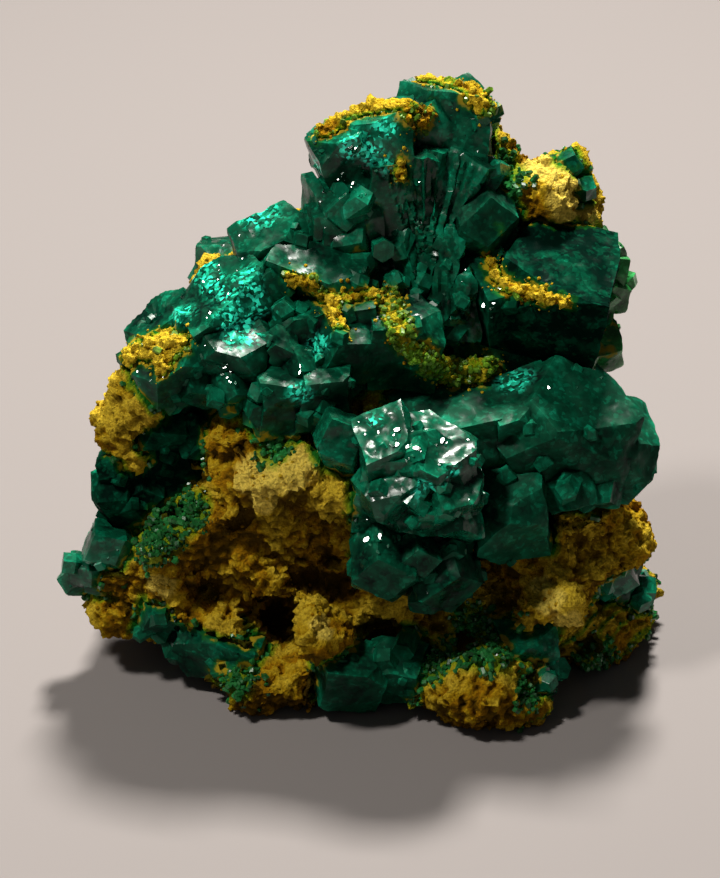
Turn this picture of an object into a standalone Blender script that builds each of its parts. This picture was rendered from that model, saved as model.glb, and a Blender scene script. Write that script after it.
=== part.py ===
"""Adamite specimen: deep green blocky crystals grown over a lump of ochre-yellow gossan.

The specimen stands on its own broken base, cut flat where it touches the shelf. Its show side faces -Y,
X runs to the right as you look at it, and Z is up. The host rock is one solid, every intergrown group of
crystals is one solid, and so is every patch of ochre crust that lies on the crystals.
"""

import math
import random

import bmesh
import bpy
from mathutils import Matrix, Vector, noise
from mathutils.bvhtree import BVHTree

MM = 0.001
GAP = 0.3  # clearance between a crystal and the rock or crust around it, in mm
CRUST_GAP = 0.7  # clearance between a crust and the rock, in mm
VIEW = Vector((0.0, math.cos(math.radians(30)), -math.sin(math.radians(30))))  # the way the show side is seen

ROCK_VOXEL = 1.7  # grid of the rock's first skin, in mm
ROCK_FACES = 1400  # triangles of the rock before the crystals' sockets are cut
FLAT = math.radians(0.3)  # faces that turn less than this are one flat face
REACH = 7.0  # how far a crust's points may move to meet a crystal, in mm
CRUST_VOXEL = 1.0
CRUST_FACES = 75

GREEN = (0.004, 0.085, 0.045, 1.0)
OCHRE = (0.42, 0.29, 0.035, 1.0)
LIME_OCHRE = (0.27, 0.33, 0.03, 1.0)


def clear_scene():
    for old in list(bpy.data.objects):
        bpy.data.objects.remove(old)


def finish(name, colour, roughness):
    material = bpy.data.materials.new(name)
    material.use_nodes = True
    shader = material.node_tree.nodes["Principled BSDF"]
    shader.inputs["Base Color"].default_value = colour
    shader.inputs["Roughness"].default_value = roughness
    shader.inputs["Metallic"].default_value = 0.0
    return material


# Crystals. Each is a convex stone cut out of a cube by planes, so a larger copy of it, with every plane
# moved out by the gap, is the socket that the rock keeps open around it.


def hexagonal(place, lean, width, length, turn=0.0, slope=44.0):
    """A short six-sided prism. Three sloping faces close the end that points along lean, one face the other."""
    planes = []
    for side in range(6):
        angle = math.radians(60 * side)
        uneven = 1.0 + 0.10 * math.sin(2.4 * side + place[0])
        planes.append((Vector((math.cos(angle), math.sin(angle), 0.0)), width / 2 * uneven))
    tilt = math.radians(slope)
    for face in range(3):
        angle = math.radians(120 * face + 30)
        normal = Vector((math.sin(tilt) * math.cos(angle), math.sin(tilt) * math.sin(angle), math.cos(tilt)))
        planes.append((normal, length / 2 * math.cos(tilt)))
    planes.append((Vector((0.0, 0.0, -1.0)), length / 2))
    return {"place": Vector(place), "lean": Vector(lean), "turn": turn, "planes": planes, "reach": width + length}


def blocky(place, lean, size, turn=0.0, seed=1, chips=4):
    """A block, upright before it leans, with its corners and edges broken back by a few flat faces."""
    draw = random.Random(seed)
    half = [side / 2 for side in size]
    planes = []
    for axis in range(3):
        for way in (1, -1):
            normal = Vector([draw.uniform(-0.16, 0.16) for _ in range(3)])
            normal[axis] = way
            planes.append((normal.normalized(), half[axis]))
    for chip in range(chips):
        signs = (draw.choice((-1, 1)), draw.choice((-1, -1, 1)), 1 if chip < 0.7 * chips else -1)
        normal = Vector([sign * draw.uniform(0.3, 1.0) for sign in signs]).normalized()
        corner = sum(abs(normal[axis]) * half[axis] for axis in range(3))
        planes.append((normal, corner * draw.uniform(0.68, 0.82)))
    return {"place": Vector(place), "lean": Vector(lean), "turn": turn, "planes": planes, "reach": 2 * max(size)}


def stone(spec, grow=0.0):
    """Cuts one crystal from a cube. Its local Z is its long axis, which points along lean."""
    bm = bmesh.new()
    bmesh.ops.create_cube(bm, size=2 * spec["reach"])
    for normal, distance in spec["planes"]:
        sliced = bmesh.ops.bisect_plane(
            bm,
            geom=[*bm.verts, *bm.edges, *bm.faces],
            dist=1e-5,
            plane_co=normal * (distance + grow),
            plane_no=normal,
            clear_outer=True,
        )
        rim = [part for part in sliced["geom_cut"] if isinstance(part, bmesh.types.BMEdge)]
        if rim:
            bmesh.ops.contextual_create(bm, geom=rim)
    bmesh.ops.recalc_face_normals(bm, faces=bm.faces)
    turned = Vector((0.0, 0.0, 1.0)).rotation_difference(spec["lean"]).to_matrix().to_4x4()
    spun = Matrix.Rotation(math.radians(spec["turn"]), 4, "Z")
    bm.transform(Matrix.Scale(MM, 4) @ Matrix.Translation(spec["place"]) @ turned @ spun)
    return bm


def object_of(name, bm):
    mesh = bpy.data.meshes.new(name)
    bm.to_mesh(mesh)
    bm.free()
    made = bpy.data.objects.new(name, mesh)
    bpy.context.scene.collection.objects.link(made)
    return made


def evaluated(obj):
    """Replaces an object's mesh by what its modifiers make of it."""
    bpy.context.view_layer.update()
    graph = bpy.context.evaluated_depsgraph_get()
    mesh = bpy.data.meshes.new_from_object(obj.evaluated_get(graph), depsgraph=graph)
    obj.modifiers.clear()
    obj.data = mesh
    return obj


def largest_body(obj):
    """Drops the chips that a cut leaves loose, keeps the largest body, and joins the pieces of each flat face."""
    bm = bmesh.new()
    bm.from_mesh(obj.data)
    left = set(bm.verts)
    bodies = []
    while left:
        body = set()
        reached = [left.pop()]
        while reached:
            vert = reached.pop()
            body.add(vert)
            for edge in vert.link_edges:
                other = edge.other_vert(vert)
                if other in left:
                    left.remove(other)
                    reached.append(other)
        bodies.append(body)
    bodies.sort(key=len)
    for body in bodies[:-1]:
        bmesh.ops.delete(bm, geom=list(body), context="VERTS")
    bmesh.ops.dissolve_degenerate(bm, dist=1e-6, edges=bm.edges)
    bmesh.ops.dissolve_limit(bm, angle_limit=FLAT, verts=bm.verts, edges=bm.edges)
    bmesh.ops.triangulate(bm, faces=bm.faces)
    bm.to_mesh(obj.data)
    bm.free()
    return obj


def boolean(obj, others, operation):
    """Joins or cuts obj with all the others at once, by one exact Boolean."""
    group = bpy.data.collections.new("operands")
    for other in others:
        group.objects.link(other)
    modifier = obj.modifiers.new(operation.lower(), "BOOLEAN")
    modifier.operation = operation
    modifier.solver = "EXACT"
    modifier.operand_type = "COLLECTION"
    modifier.collection = group
    evaluated(obj)
    bpy.data.collections.remove(group)
    return largest_body(obj)


def remove(objects):
    for obj in objects:
        bpy.data.objects.remove(obj)


def fused(name, specs, grow=0.0):
    """One solid from overlapping crystals."""
    first, *rest = [object_of(f"{name}_{i}", stone(spec, grow)) for i, spec in enumerate(specs)]
    if rest:
        boolean(first, rest, "UNION")
        remove(rest)
    first.name = name
    return first


# The crystal groups, in mm. They follow the show side from the summit down, and then the sides and the back.


def summit():
    """A tall plate, a block lying out to the left, and a fan of columns running down into the hollow."""
    foot = Vector((8.6, 4.6, 62.0))
    columns = 6
    fan = []
    for i in range(columns):
        share = i / (columns - 1)
        top = Vector((5.4 + 12.8 * share, 5.6 + 2.4 * share, 77.4 - 3.2 * share))
        size = (4.6, 4.6, (top - foot).length + 3.0)
        fan.append(blocky((foot + top) / 2, top - foot, size, 45 + 6 * i, seed=30 + i, chips=1))
    return fan + [
        blocky((12.6, 12.2, 74.8), (0.0, 0.26, 1.0), (11.6, 9.0, 18.6), -6, seed=3),
        blocky((8.6, 11.4, 79.0), (-0.35, 0.2, 1.0), (7.6, 7.6, 8.0), 10, seed=5),
        blocky((-2.6, 6.6, 77.4), (-0.15, -0.1, 1.0), (9.0, 8.6, 7.4), 12, seed=8, chips=5),
        blocky((3.2, 8.0, 77.6), (-0.1, 0.1, 1.0), (9.6, 9.6, 10.6), -8, seed=12, chips=5),
        blocky((4.0, 5.6, 69.2), (0.0, 0.1, 1.0), (6.6, 7.0, 15.0), 12, seed=7, chips=2),
        hexagonal((14.6, 14.8, 82.4), (0.2, 0.2, 1.0), 4.8, 7.6),
        blocky((9.4, 12.4, 67.4), (0.0, 0.0, 1.0), (15.0, 9.0, 17.0), 0, seed=9, chips=0),
    ]


def shoulder_knob():
    """A dark knob of small crystals below the left end of the summit block."""
    return [
        blocky((-2.8, 3.4, 68.2), (-0.1, 0.1, 1.0), (8.6, 8.0, 12.0), 20, seed=21, chips=5),
        hexagonal((-2.4, 1.4, 72.0), (0.1, -0.7, 0.8), 6.6, 6.6, 10),
        hexagonal((-5.4, 1.4, 69.2), (-0.5, -0.8, 0.5), 6.0, 6.4, 30),
        hexagonal((-1.4, 0.8, 66.8), (0.4, -0.9, 0.2), 6.4, 6.4, 0),
    ]


def vug():
    """Blades that line the hollow under the summit and spread outwards from its floor."""
    root = Vector((10.0, -1.0, 54.0))
    blades = []
    for row, count in enumerate((4, 2)):
        for i in range(count):
            spread = (i / (count - 1) - 0.5) * 2
            out = Vector((spread * 0.8, 0.30 - 0.32 * row, 1.0 - 0.3 * abs(spread)))
            size = (5.6 - row, 3.0, 13.0 - 4.0 * row)
            blades.append(blocky(root + out * (8.0 - 3.4 * row), out, size, 35 * i + 20, seed=40 + 5 * row + i, chips=1))
    floor = [
        blocky((10.4, 1.6, 55.4), (0.0, 0.2, 1.0), (14.0, 7.0, 8.0), 0, seed=52, chips=0),
        blocky((21.0, 1.6, 49.0), (0.0, -0.2, 1.0), (14.0, 7.0, 6.0), 0, seed=53, chips=0),
    ]
    return blades + floor


def upper_knob():
    return [
        hexagonal((17.8, 5.2, 67.8), (0.1, -0.55, 0.8), 9.4, 10.6, 12, slope=38),
        blocky((19.4, 7.2, 66.2), (0.3, 0.0, 1.0), (6.2, 6.2, 7.4), 0, seed=61, chips=2),
    ]


def right_block():
    """The largest single block, with a tilted top face and a dark hollow under its front."""
    return [
        blocky((27.4, 1.2, 57.4), (0.18, -0.22, 1.0), (16.0, 14.6, 14.0), -6, seed=73, chips=5),
        blocky((21.0, 0.0, 57.6), (0.0, -0.3, 1.0), (9.0, 9.4, 9.6), 14, seed=78),
    ]


def front_right():
    """The broad block at the right of the front, the low band that runs left from it, and one block below."""
    return [
        blocky((29.0, -8.8, 40.4), (0.22, -0.34, 1.0), (17.6, 14.4, 14.4), 0, seed=84, chips=9),
        blocky((23.0, -8.4, 42.8), (-0.1, -0.30, 1.0), (9.6, 11.0, 10.6), 16, seed=82),
        blocky((35.6, -7.0, 37.2), (0.55, -0.2, 1.0), (9.6, 11.4, 11.0), 10, seed=83, chips=6),
        hexagonal((38.8, -8.4, 34.2), (0.8, -0.4, -0.3), 6.6, 7.6, 10),
        hexagonal((34.6, -12.6, 33.0), (0.3, -0.9, -0.1), 6.6, 7.0, 0),
        hexagonal((30.0, -14.6, 34.0), (0.0, -0.9, -0.2), 7.0, 7.4, 20),
        blocky((14.6, -10.2, 41.6), (0.0, -0.30, 1.0), (19.0, 11.0, 10.0), 4, seed=86),
        blocky((21.2, -15.6, 30.8), (0.0, -0.30, 1.0), (10.4, 10.0, 12.4), 8, seed=88, chips=6),
    ]


def front():
    """The stack of glossy steps that stands furthest forward."""
    return [
        blocky((8.2, -19.0, 39.8), (0.05, -0.30, 1.0), (16.0, 10.4, 13.6), 0, seed=112, chips=9),
        blocky((3.4, -21.4, 45.4), (-0.1, -0.55, 1.0), (7.6, 7.4, 6.0), 14, seed=101, chips=5),
        blocky((9.2, -22.4, 43.0), (0.2, -0.60, 1.0), (7.6, 7.0, 6.4), -18, seed=102, chips=5),
        blocky((13.0, -22.6, 38.8), (0.4, -0.50, 1.0), (7.6, 7.4, 6.4), 20, seed=103, chips=5),
        blocky((3.8, -23.4, 39.2), (-0.2, -0.70, 1.0), (7.4, 7.0, 6.4), 25, seed=104, chips=5),
        hexagonal((8.6, -23.8, 36.4), (0.1, -0.85, 0.3), 8.4, 7.0, 20),
        hexagonal((13.4, -22.4, 33.8), (0.2, -0.85, 0.1), 6.8, 7.0, 5),
        hexagonal((-3.2, -18.6, 45.0), (-0.2, -0.5, 0.9), 7.2, 9.6, 15, slope=52),
    ]


def lower_front():
    """Two blunt knobs hanging under the front stack."""
    return [
        blocky((8.0, -18.8, 27.0), (0.0, 0.0, 1.0), (16.4, 8.0, 9.6), 0, seed=121, chips=2),
        hexagonal((3.0, -23.8, 27.6), (-0.15, -0.85, 0.6), 9.0, 9.4, 0, slope=40),
        hexagonal((12.4, -22.6, 25.2), (0.3, -0.85, 0.35), 10.6, 9.8, 22, slope=42),
        hexagonal((7.8, -24.0, 29.0), (0.05, -0.75, 0.65), 5.6, 6.8, 10),
        hexagonal((9.6, -23.0, 21.8), (0.1, -0.80, -0.5), 6.0, 6.4, 10),
    ]


def centre():
    """Smaller crystals between the left dome and the hollow, from the front stack up to the band behind it."""
    return [
        blocky((-6.4, -1.8, 62.2), (0.2, -0.35, 1.0), (13.6, 9.0, 8.0), -14, seed=134),
        hexagonal((-3.0, -9.6, 55.2), (0.0, -0.80, 0.40), 11.0, 10.6, 30, slope=42),
        blocky((5.6, -6.6, 53.8), (0.2, -0.25, 1.0), (9.6, 8.4, 11.0), 10, seed=135),
        hexagonal((-11.8, -11.4, 55.8), (-0.1, -0.85, 0.5), 5.6, 7.0, 0),
        hexagonal((-8.8, -12.4, 53.4), (0.1, -0.90, 0.2), 6.0, 6.6, 25),
        blocky((-11.4, -13.6, 48.4), (0.0, -0.30, 1.0), (7.6, 6.6, 9.4), 20, seed=131, chips=5),
        blocky((-5.2, -13.6, 49.6), (0.1, -0.25, 1.0), (7.0, 6.0, 8.0), 0, seed=132),
        blocky((-5.6, -6.4, 54.0), (0.0, 0.0, 1.0), (16.0, 9.0, 13.0), 5, seed=133, chips=1),
    ]


def left_dome():
    """The rounded shoulder on the left: a few broad crystals around one core, with smaller ones between."""
    return [
        blocky((-17.2, -1.4, 51.0), (-0.32, -0.2, 1.0), (18.0, 13.0, 20.0), 0, seed=141, chips=8),
        blocky((-12.4, 1.6, 64.4), (-0.25, -0.2, 1.0), (11.4, 7.4, 7.6), 10, seed=142),
        blocky((-19.0, -4.4, 58.4), (-0.5, -0.5, 1.0), (13.0, 11.0, 8.6), 18, seed=143, chips=6),
        blocky((-27.2, -4.6, 54.0), (-0.8, -0.3, 1.0), (8.6, 9.6, 8.0), -8, seed=144, chips=6),
        blocky((-26.4, -9.4, 51.6), (-0.4, -0.6, 1.0), (11.4, 8.4, 7.6), 12, seed=145, chips=6),
        blocky((-18.4, -9.6, 54.0), (0.1, -0.6, 1.0), (11.4, 8.6, 9.6), -12, seed=146, chips=5),
        hexagonal((-13.6, -4.4, 61.4), (0.2, -0.5, 0.9), 8.4, 8.4, 12),
        hexagonal((-18.0, -12.4, 50.0), (0.1, -0.9, 0.1), 7.4, 7.4, 20),
        hexagonal((-23.4, -11.4, 49.8), (-0.2, -0.9, 0.1), 6.6, 7.0, 0),
        hexagonal((-24.2, -7.4, 56.6), (-0.4, -0.6, 0.8), 7.0, 7.6, 30),
    ]


def left_wall():
    """Dark crystals in the hollow under the dome, and a black prism that shows in outline."""
    return [
        blocky((-25.6, -4.0, 41.0), (0.1, -0.2, 1.0), (11.0, 9.0, 10.4), 10, seed=151, chips=6),
        hexagonal((-29.0, -8.8, 41.0), (-0.3, -0.9, 0.3), 7.2, 7.4, 10),
        hexagonal((-23.2, -9.4, 39.6), (0.2, -0.9, 0.3), 7.2, 7.0, 25),
        blocky((-28.4, -5.2, 33.0), (0.0, -0.1, 1.0), (9.4, 8.0, 11.0), 4, seed=152, chips=2),
        hexagonal((-35.8, -9.0, 29.4), (-0.45, -0.3, 0.85), 6.0, 9.0, 30, slope=42),
        hexagonal((-31.6, -8.6, 30.8), (-0.1, -0.9, 0.4), 5.8, 6.4, 0),
        hexagonal((-25.4, -13.0, 27.0), (0.2, -0.9, 0.3), 5.4, 6.0, 15),
        hexagonal((-36.6, -9.4, 34.4), (-0.75, -0.4, 0.4), 4.4, 5.4, 15),
    ]


def left_foot():
    """Small sharp prisms that ring the low ledge on the left."""
    return [
        hexagonal((-37.2, -11.0, 22.4), (-0.35, -0.6, 0.75), 6.8, 8.6, 12),
        hexagonal((-41.0, -10.0, 17.6), (-0.7, -0.6, 0.4), 5.2, 6.0, 0),
        hexagonal((-42.6, -8.8, 15.2), (-0.95, -0.3, 0.1), 4.6, 5.6, 20),
        blocky((-37.4, -8.4, 18.6), (0.1, 0.0, 1.0), (6.6, 6.0, 9.0), 0, seed=161, chips=2),
    ]


def base_left():
    return [
        hexagonal((-30.2, -13.6, 11.4), (-0.3, -0.8, 0.45), 6.2, 6.6, 10),
        hexagonal((-27.0, -13.6, 7.6), (-0.3, -0.85, 0.1), 6.2, 6.6, 25),
        blocky((-21.0, -15.6, 7.0), (0.1, -0.1, 1.0), (13.0, 7.0, 7.4), -16, seed=171),
        hexagonal((-18.6, -18.4, 6.6), (0.1, -0.9, 0.2), 6.4, 6.6, 0),
    ]


def base_front():
    return [
        blocky((-1.6, -22.4, 6.8), (0.15, -0.3, 1.0), (9.4, 6.6, 9.4), 10, seed=181),
        blocky((4.6, -20.8, 6.6), (0.2, -0.3, 1.0), (8.6, 6.6, 8.4), -12, seed=182),
    ]


def base_right():
    return [
        blocky((24.0, -19.6, 10.4), (0.1, -0.3, 1.0), (8.6, 6.0, 6.0), 10, seed=191),
        hexagonal((26.0, -22.0, 5.6), (0.3, -0.9, 0.1), 5.4, 6.0, 10),
    ]


def right_edge():
    return [
        hexagonal((37.8, -7.2, 14.8), (0.35, -0.7, 0.55), 6.2, 7.4, 10, slope=40),
        hexagonal((38.4, -7.0, 19.0), (0.5, -0.5, 0.7), 5.0, 6.2, 25),
        hexagonal((42.2, -3.8, 9.4), (0.85, -0.5, 0.25), 4.2, 5.4, 0),
        blocky((38.4, -3.8, 13.4), (0.2, 0.0, 1.0), (6.0, 6.0, 9.0), 0, seed=201, chips=1),
    ]


def right_rim():
    return [
        hexagonal((35.8, 7.4, 60.6), (0.8, -0.2, 0.6), 5.4, 6.0, 30),
        hexagonal((36.4, 6.0, 55.4), (0.9, -0.3, 0.2), 6.0, 6.4, 5),
        hexagonal((35.2, 2.6, 48.0), (0.7, -0.6, 0.2), 7.0, 7.0, 20),
        blocky((33.6, 7.0, 54.0), (0.1, 0.1, 1.0), (6.4, 6.4, 14.0), 0, seed=211, chips=1),
    ]


def top_right():
    return [
        hexagonal((29.8, 11.8, 72.8), (0.4, -0.3, 0.85), 3.8, 5.2, 5),
        hexagonal((32.2, 11.0, 69.6), (0.8, -0.4, 0.3), 3.6, 4.8, 25),
    ]


def back_patch(middle, out, spread, count, wide, seed):
    """A patch of crystals on the back: one in the middle, and a ring of seeded ones around it."""
    draw = random.Random(seed)
    out = Vector(out).normalized()
    side = out.orthogonal().normalized()
    specs = [blocky(middle, out, (1.5 * wide, 1.4 * wide, wide), 10, seed=seed, chips=5)]
    for i in range(count):
        angle = math.tau * i / count + draw.uniform(-0.3, 0.3)
        across = Matrix.Rotation(angle, 3, out) @ side
        place = Vector(middle) + across * spread * draw.uniform(0.75, 1.1) + out * draw.uniform(-0.5, 1.0)
        size = wide * draw.uniform(0.7, 1.05)
        specs.append(hexagonal(place, out + across * draw.uniform(0.2, 0.7), size, size * 1.2, draw.uniform(0, 60)))
    return specs


def crystal_groups():
    """Every intergrown group, in the order in which a later one gives way to an earlier one."""
    return {
        "summit_crystals": summit(),
        "right_block_crystal": right_block(),
        "front_stack_crystals": front(),
        "front_right_crystals": front_right(),
        "left_dome_crystals": left_dome(),
        "shoulder_knob_crystals": shoulder_knob(),
        "upper_right_knob_crystal": upper_knob(),
        "centre_crystals": centre(),
        "lower_front_crystals": lower_front(),
        "left_wall_crystals": left_wall(),
        "left_foot_crystals": left_foot(),
        "base_left_crystals": base_left(),
        "base_front_crystals": base_front(),
        "base_right_crystals": base_right(),
        "right_edge_crystals": right_edge(),
        "right_rim_crystals": right_rim(),
        "top_right_crystals": top_right(),
        "back_left_crystals": back_patch((-16.0, 18.6, 52.0), (-0.4, 0.85, 0.35), 6.4, 4, 8.0, 301),
        "back_right_crystals": back_patch((18.2, 23.0, 40.0), (0.35, 0.95, 0.1), 6.8, 5, 8.5, 302),
        "back_low_crystals": back_patch((-8.6, 26.4, 20.0), (-0.15, 0.95, 0.1), 5.6, 4, 7.0, 303),
        "vug_crystals": vug(),
    }


# The host rock, in mm: rounded lumps joined, hollowed by a few pits, roughened, and sawn flat underneath.

LUMPS = (
    ((2, 5, 10), (35, 25, 14)),
    ((35, 1, 5), (11, 12, 8)),
    ((33.5, -6.5, 4), (8.5, 8, 7)),
    ((-26, -1, 12), (14, 14, 12)),
    ((-35, -9, 11), (8, 6, 5)),
    ((-12, -18, 5), (11, 9, 6)),
    ((18, -20, 5), (13, 10, 8)),
    ((-12, -8, 27), (17, 9, 17)),
    ((-18, -12, 41), (6, 6, 5)),
    ((-11, -15, 38), (8, 7, 5)),
    ((-4, -17, 37), (6, 6, 5)),
    ((-21, -14, 32), (6, 6, 6)),
    ((-27, -13, 24), (7, 6, 5)),
    ((-33, -11, 17), (7, 6, 5)),
    ((1, 7, 32), (31, 20, 25)),
    ((31, -5, 21), (11, 11, 12)),
    ((28, -16, 17), (6, 6, 6)),
    ((36, -5, 27), (5, 7, 8)),
    ((2, 14, 44), (24, 13, 26)),
    ((25, 14, 62), (10, 8, 10)),
    ((28, 14, 68), (7, 6.5, 8)),
    ((24, 12.5, 67.5), (9, 7.5, 8)),
    ((14, 16, 66), (9, 7, 12)),
    ((19, 14, 71), (6, 4, 4)),
    ((28, 9, 46), (9, 10, 13)),
    ((-16, 10, 43), (13, 11, 17)),
    ((-32.6, -7.4, 46), (4.4, 5.5, 6.5)),
    ((-33.2, -7, 39.5), (4.6, 5.5, 7)),
    ((-34.0, -2.6, 35), (4.4, 5.5, 8)),
    ((-33, -2, 28), (5, 8, 11)),
    ((-8, -22, 15), (6, 6, 6)),
    ((-22, -14, 13), (8, 6, 5)),
    ((6, -12, 30), (13, 8, 12)),
)
PITS = (
    ((-12.7, -20, 13.5), (4.8, 10, 5.4)),
    ((-21.5, -18, 17), (5.4, 7, 3.8)),
    ((14, -7, 53), (15, 10, 7)),
    ((24, -22, 22), (7, 8, 5)),
    ((-21, -14, 46), (4, 7, 4)),
    ((8, -26, 15), (8, 7, 4)),
    ((-27, -15, 34), (7, 7, 4)),
)


def ellipsoid(name, place, radii, detail=3):
    bm = bmesh.new()
    bmesh.ops.create_icosphere(bm, subdivisions=detail, radius=1.0)
    bm.transform(Matrix.Scale(MM, 4) @ Matrix.Translation(place) @ Matrix.Diagonal((*radii, 1.0)))
    return object_of(name, bm)


def reskin(obj, voxel):
    modifier = obj.modifiers.new("skin", "REMESH")
    modifier.mode = "VOXEL"
    modifier.voxel_size = voxel * MM
    modifier.use_smooth_shade = False
    return evaluated(obj)


def reduce_to(obj, triangles):
    modifier = obj.modifiers.new("reduce", "DECIMATE")
    modifier.decimate_type = "COLLAPSE"
    modifier.ratio = min(1.0, triangles / sum(len(face.vertices) - 2 for face in obj.data.polygons))
    modifier.use_collapse_triangulate = True
    return evaluated(obj)


def roughen(obj, lumps, ledges):
    """Moves every point along its normal by rounded lumps and stepped ledges: (height, spacing) in mm each."""
    obj.data.update()
    moves = []
    for vert in obj.data.vertices:
        place = vert.co / MM
        rounded = noise.fractal(place / lumps[1], 1.0, 2.0, 3)
        stepped = abs(noise.noise(place / ledges[1])) - 0.42
        moves.append(vert.normal * (rounded * lumps[0] + stepped * ledges[0]) * MM)
    for vert, move in zip(obj.data.vertices, moves):
        vert.co += move
    obj.data.update()


def saw_flat(obj):
    """Cuts off everything under the shelf's plane, which leaves the rock a flat face to stand on."""
    bm = bmesh.new()
    bmesh.ops.create_cube(bm, size=0.2, matrix=Matrix.Translation((0.0, 0.0, -0.1)))
    shelf = object_of("shelf", bm)
    boolean(obj, [shelf], "DIFFERENCE")
    remove([shelf])


def host_rock():
    lumps = [ellipsoid(f"lump_{i}", *shape) for i, shape in enumerate(LUMPS)]
    pits = [ellipsoid(f"pit_{i}", *shape) for i, shape in enumerate(PITS)]
    rock = boolean(lumps[0], lumps[1:], "UNION")
    boolean(rock, pits, "DIFFERENCE")
    remove(lumps[1:] + pits)
    reskin(rock, ROCK_VOXEL)
    roughen(rock, (2.2, 8.0), (4.0, 6.5))
    reskin(rock, ROCK_VOXEL)
    reduce_to(rock, ROCK_FACES)
    saw_flat(rock)
    rock.name = "host_rock"
    return largest_body(rock)


# The ochre crusts, in mm: strips of powdery lumps, laid on the crystals where the show side has them.
# Each is a list of (points, width) strokes. A point is moved along the view until it meets a crystal.

CRUSTS = {
    "summit_crust": ((((9, 12, 86.5), (12, 13, 85.0), (15, 14, 83.0), (18.5, 14, 79.5)), 3.4),),
    "summit_left_crust": ((((-5, 6, 80.4), (-2, 7, 82.0), (2, 8, 83.4), (6, 8.5, 82.8), (8, 9, 81.6)), 4.0),),
    "summit_spot_crust": ((((5.8, 2, 78.2), (5.2, 2, 76.0)), 3.0),),
    "right_block_crust": ((((18.4, -2, 64.8), (20.4, -5, 61.4), (24.5, -5, 61.0), (28.6, -5, 59.4)), 2.6),),
    "forked_crust": (
        (((-10.0, -8, 65.5), (-7.2, -8, 64.6), (-4.4, -8, 61.5), (-3.8, -8, 58.5), (-3.4, -8, 56.2)), 2.9),
        (((-4.4, -8, 61.5), (-0.6, -8, 61.6), (3.0, -8, 62.0)), 2.6),
    ),
    "dome_crust": (
        (((-32.5, -13, 55.0), (-29.0, -13, 57.0), (-25.6, -13, 56.6)), 4.2),
        (((-29.0, -13, 57.0), (-27.8, -13, 53.2)), 3.8),
    ),
    "vug_crust": (
        (((3.6, -6, 61.0), (4.6, -7, 57.0), (6.8, -7, 53.0), (11.0, -7, 49.6), (15.4, -7, 48.8), (19.0, -7, 49.4)), 3.8),
    ),
}


def land(point, surface):
    """Where a point meets the surface as it moves along the view. A point with no surface near it stays."""
    start = (Vector(point) - VIEW * 60) * MM
    place, _, _, _ = surface.ray_cast(start, VIEW)
    met = place and (place / MM - Vector(point)).length < REACH
    return place / MM if met else Vector(point)


def along(start, end, spacing):
    """Evenly spaced points from start up to, but not including, end."""
    run = Vector(end) - Vector(start)
    steps = max(1, round(run.length / spacing))
    return [Vector(start) + run * (i / steps) for i in range(steps)]


def stroke_places(stroke, width, surface):
    """Points on the surface along a stroke, bridged by further points where the surface drops away."""
    spacing = 0.45 * width
    aimed = [point for start, end in zip(stroke, stroke[1:]) for point in along(start, end, spacing)]
    landed = [land(point, surface) for point in [*aimed, stroke[-1]]]
    bridged = [point for start, end in zip(landed, landed[1:]) for point in along(start, end, spacing)]
    return [*bridged, landed[-1]]


def crust_blobs(name, strokes, surface, grow):
    blobs = []
    for points, width in strokes:
        for place in stroke_places(points, width, surface):
            uneven = 1.0 + 0.22 * noise.noise(place / 2.3)
            radius = width / 2 * uneven + grow
            blobs.append(ellipsoid(f"{name}_{len(blobs)}", place, (radius,) * 3, detail=2))
    return blobs


def crust(name, strokes, surface, grow=0.0):
    first, *rest = crust_blobs(name, strokes, surface, grow)
    boolean(first, rest, "UNION")
    remove(rest)
    reskin(first, CRUST_VOXEL)
    reduce_to(first, CRUST_FACES * len(strokes) if not grow else 2 * CRUST_FACES * len(strokes))
    first.name = name
    return first


def centre_over_origin(objects):
    """Moves all of the specimen at once, so that its box stands centred over the origin."""
    points = [vert.co for obj in objects for vert in obj.data.vertices]
    low = Vector([min(point[axis] for point in points) for axis in range(3)])
    high = Vector([max(point[axis] for point in points) for axis in range(3)])
    shift = Matrix.Translation((-(low.x + high.x) / 2, -(low.y + high.y) / 2, -low.z))
    for obj in objects:
        obj.data.transform(shift)


def surface_of(objects):
    """One search tree over several solids."""
    points = []
    faces = []
    for obj in objects:
        start = len(points)
        points += [vert.co.copy() for vert in obj.data.vertices]
        faces += [[start + i for i in face.vertices] for face in obj.data.polygons]
    return BVHTree.FromPolygons(points, faces)


def main():
    clear_scene()
    green = finish("green_crystal", GREEN, 0.18)
    ochre = finish("ochre_rock", OCHRE, 0.95)
    crusty = finish("ochre_crust", OCHRE, 0.95)
    lime = finish("lime_crust", LIME_OCHRE, 0.85)

    crystals = []
    sockets = []
    for name, specs in crystal_groups().items():
        solid = fused(name, specs)
        if sockets:
            boolean(solid, sockets, "DIFFERENCE")
        solid.data.materials.clear()
        solid.data.materials.append(green)
        crystals.append(solid)
        sockets.append(fused(name + "_socket", specs, GAP))

    surface = surface_of(crystals)
    crusts = []
    crust_sockets = []
    for name, strokes in CRUSTS.items():
        solid = crust(name, strokes, surface)
        boolean(solid, sockets + crust_sockets, "DIFFERENCE")
        solid.data.materials.clear()
        solid.data.materials.append(lime if name == "vug_crust" else crusty)
        crusts.append(solid)
        crust_sockets.append(crust(name + "_socket", strokes, surface, CRUST_GAP))

    rock = host_rock()
    boolean(rock, sockets + crust_sockets, "DIFFERENCE")
    rock.data.materials.clear()
    rock.data.materials.append(ochre)
    remove(sockets + crust_sockets)
    centre_over_origin([rock, *crystals, *crusts])


main()
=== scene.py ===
# %% [markdown]
# # Green crystals on ochre rock
#
# The specimen is a lump of crumbly ochre-yellow rock. Deep green crystals grew over its front and its
# summit, and strips of ochre crust lie on the crystals. The solids of all these pieces come from the frame,
# plain and in place. This lesson gives each of them the fine shape and the finish of the real thing.

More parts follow.
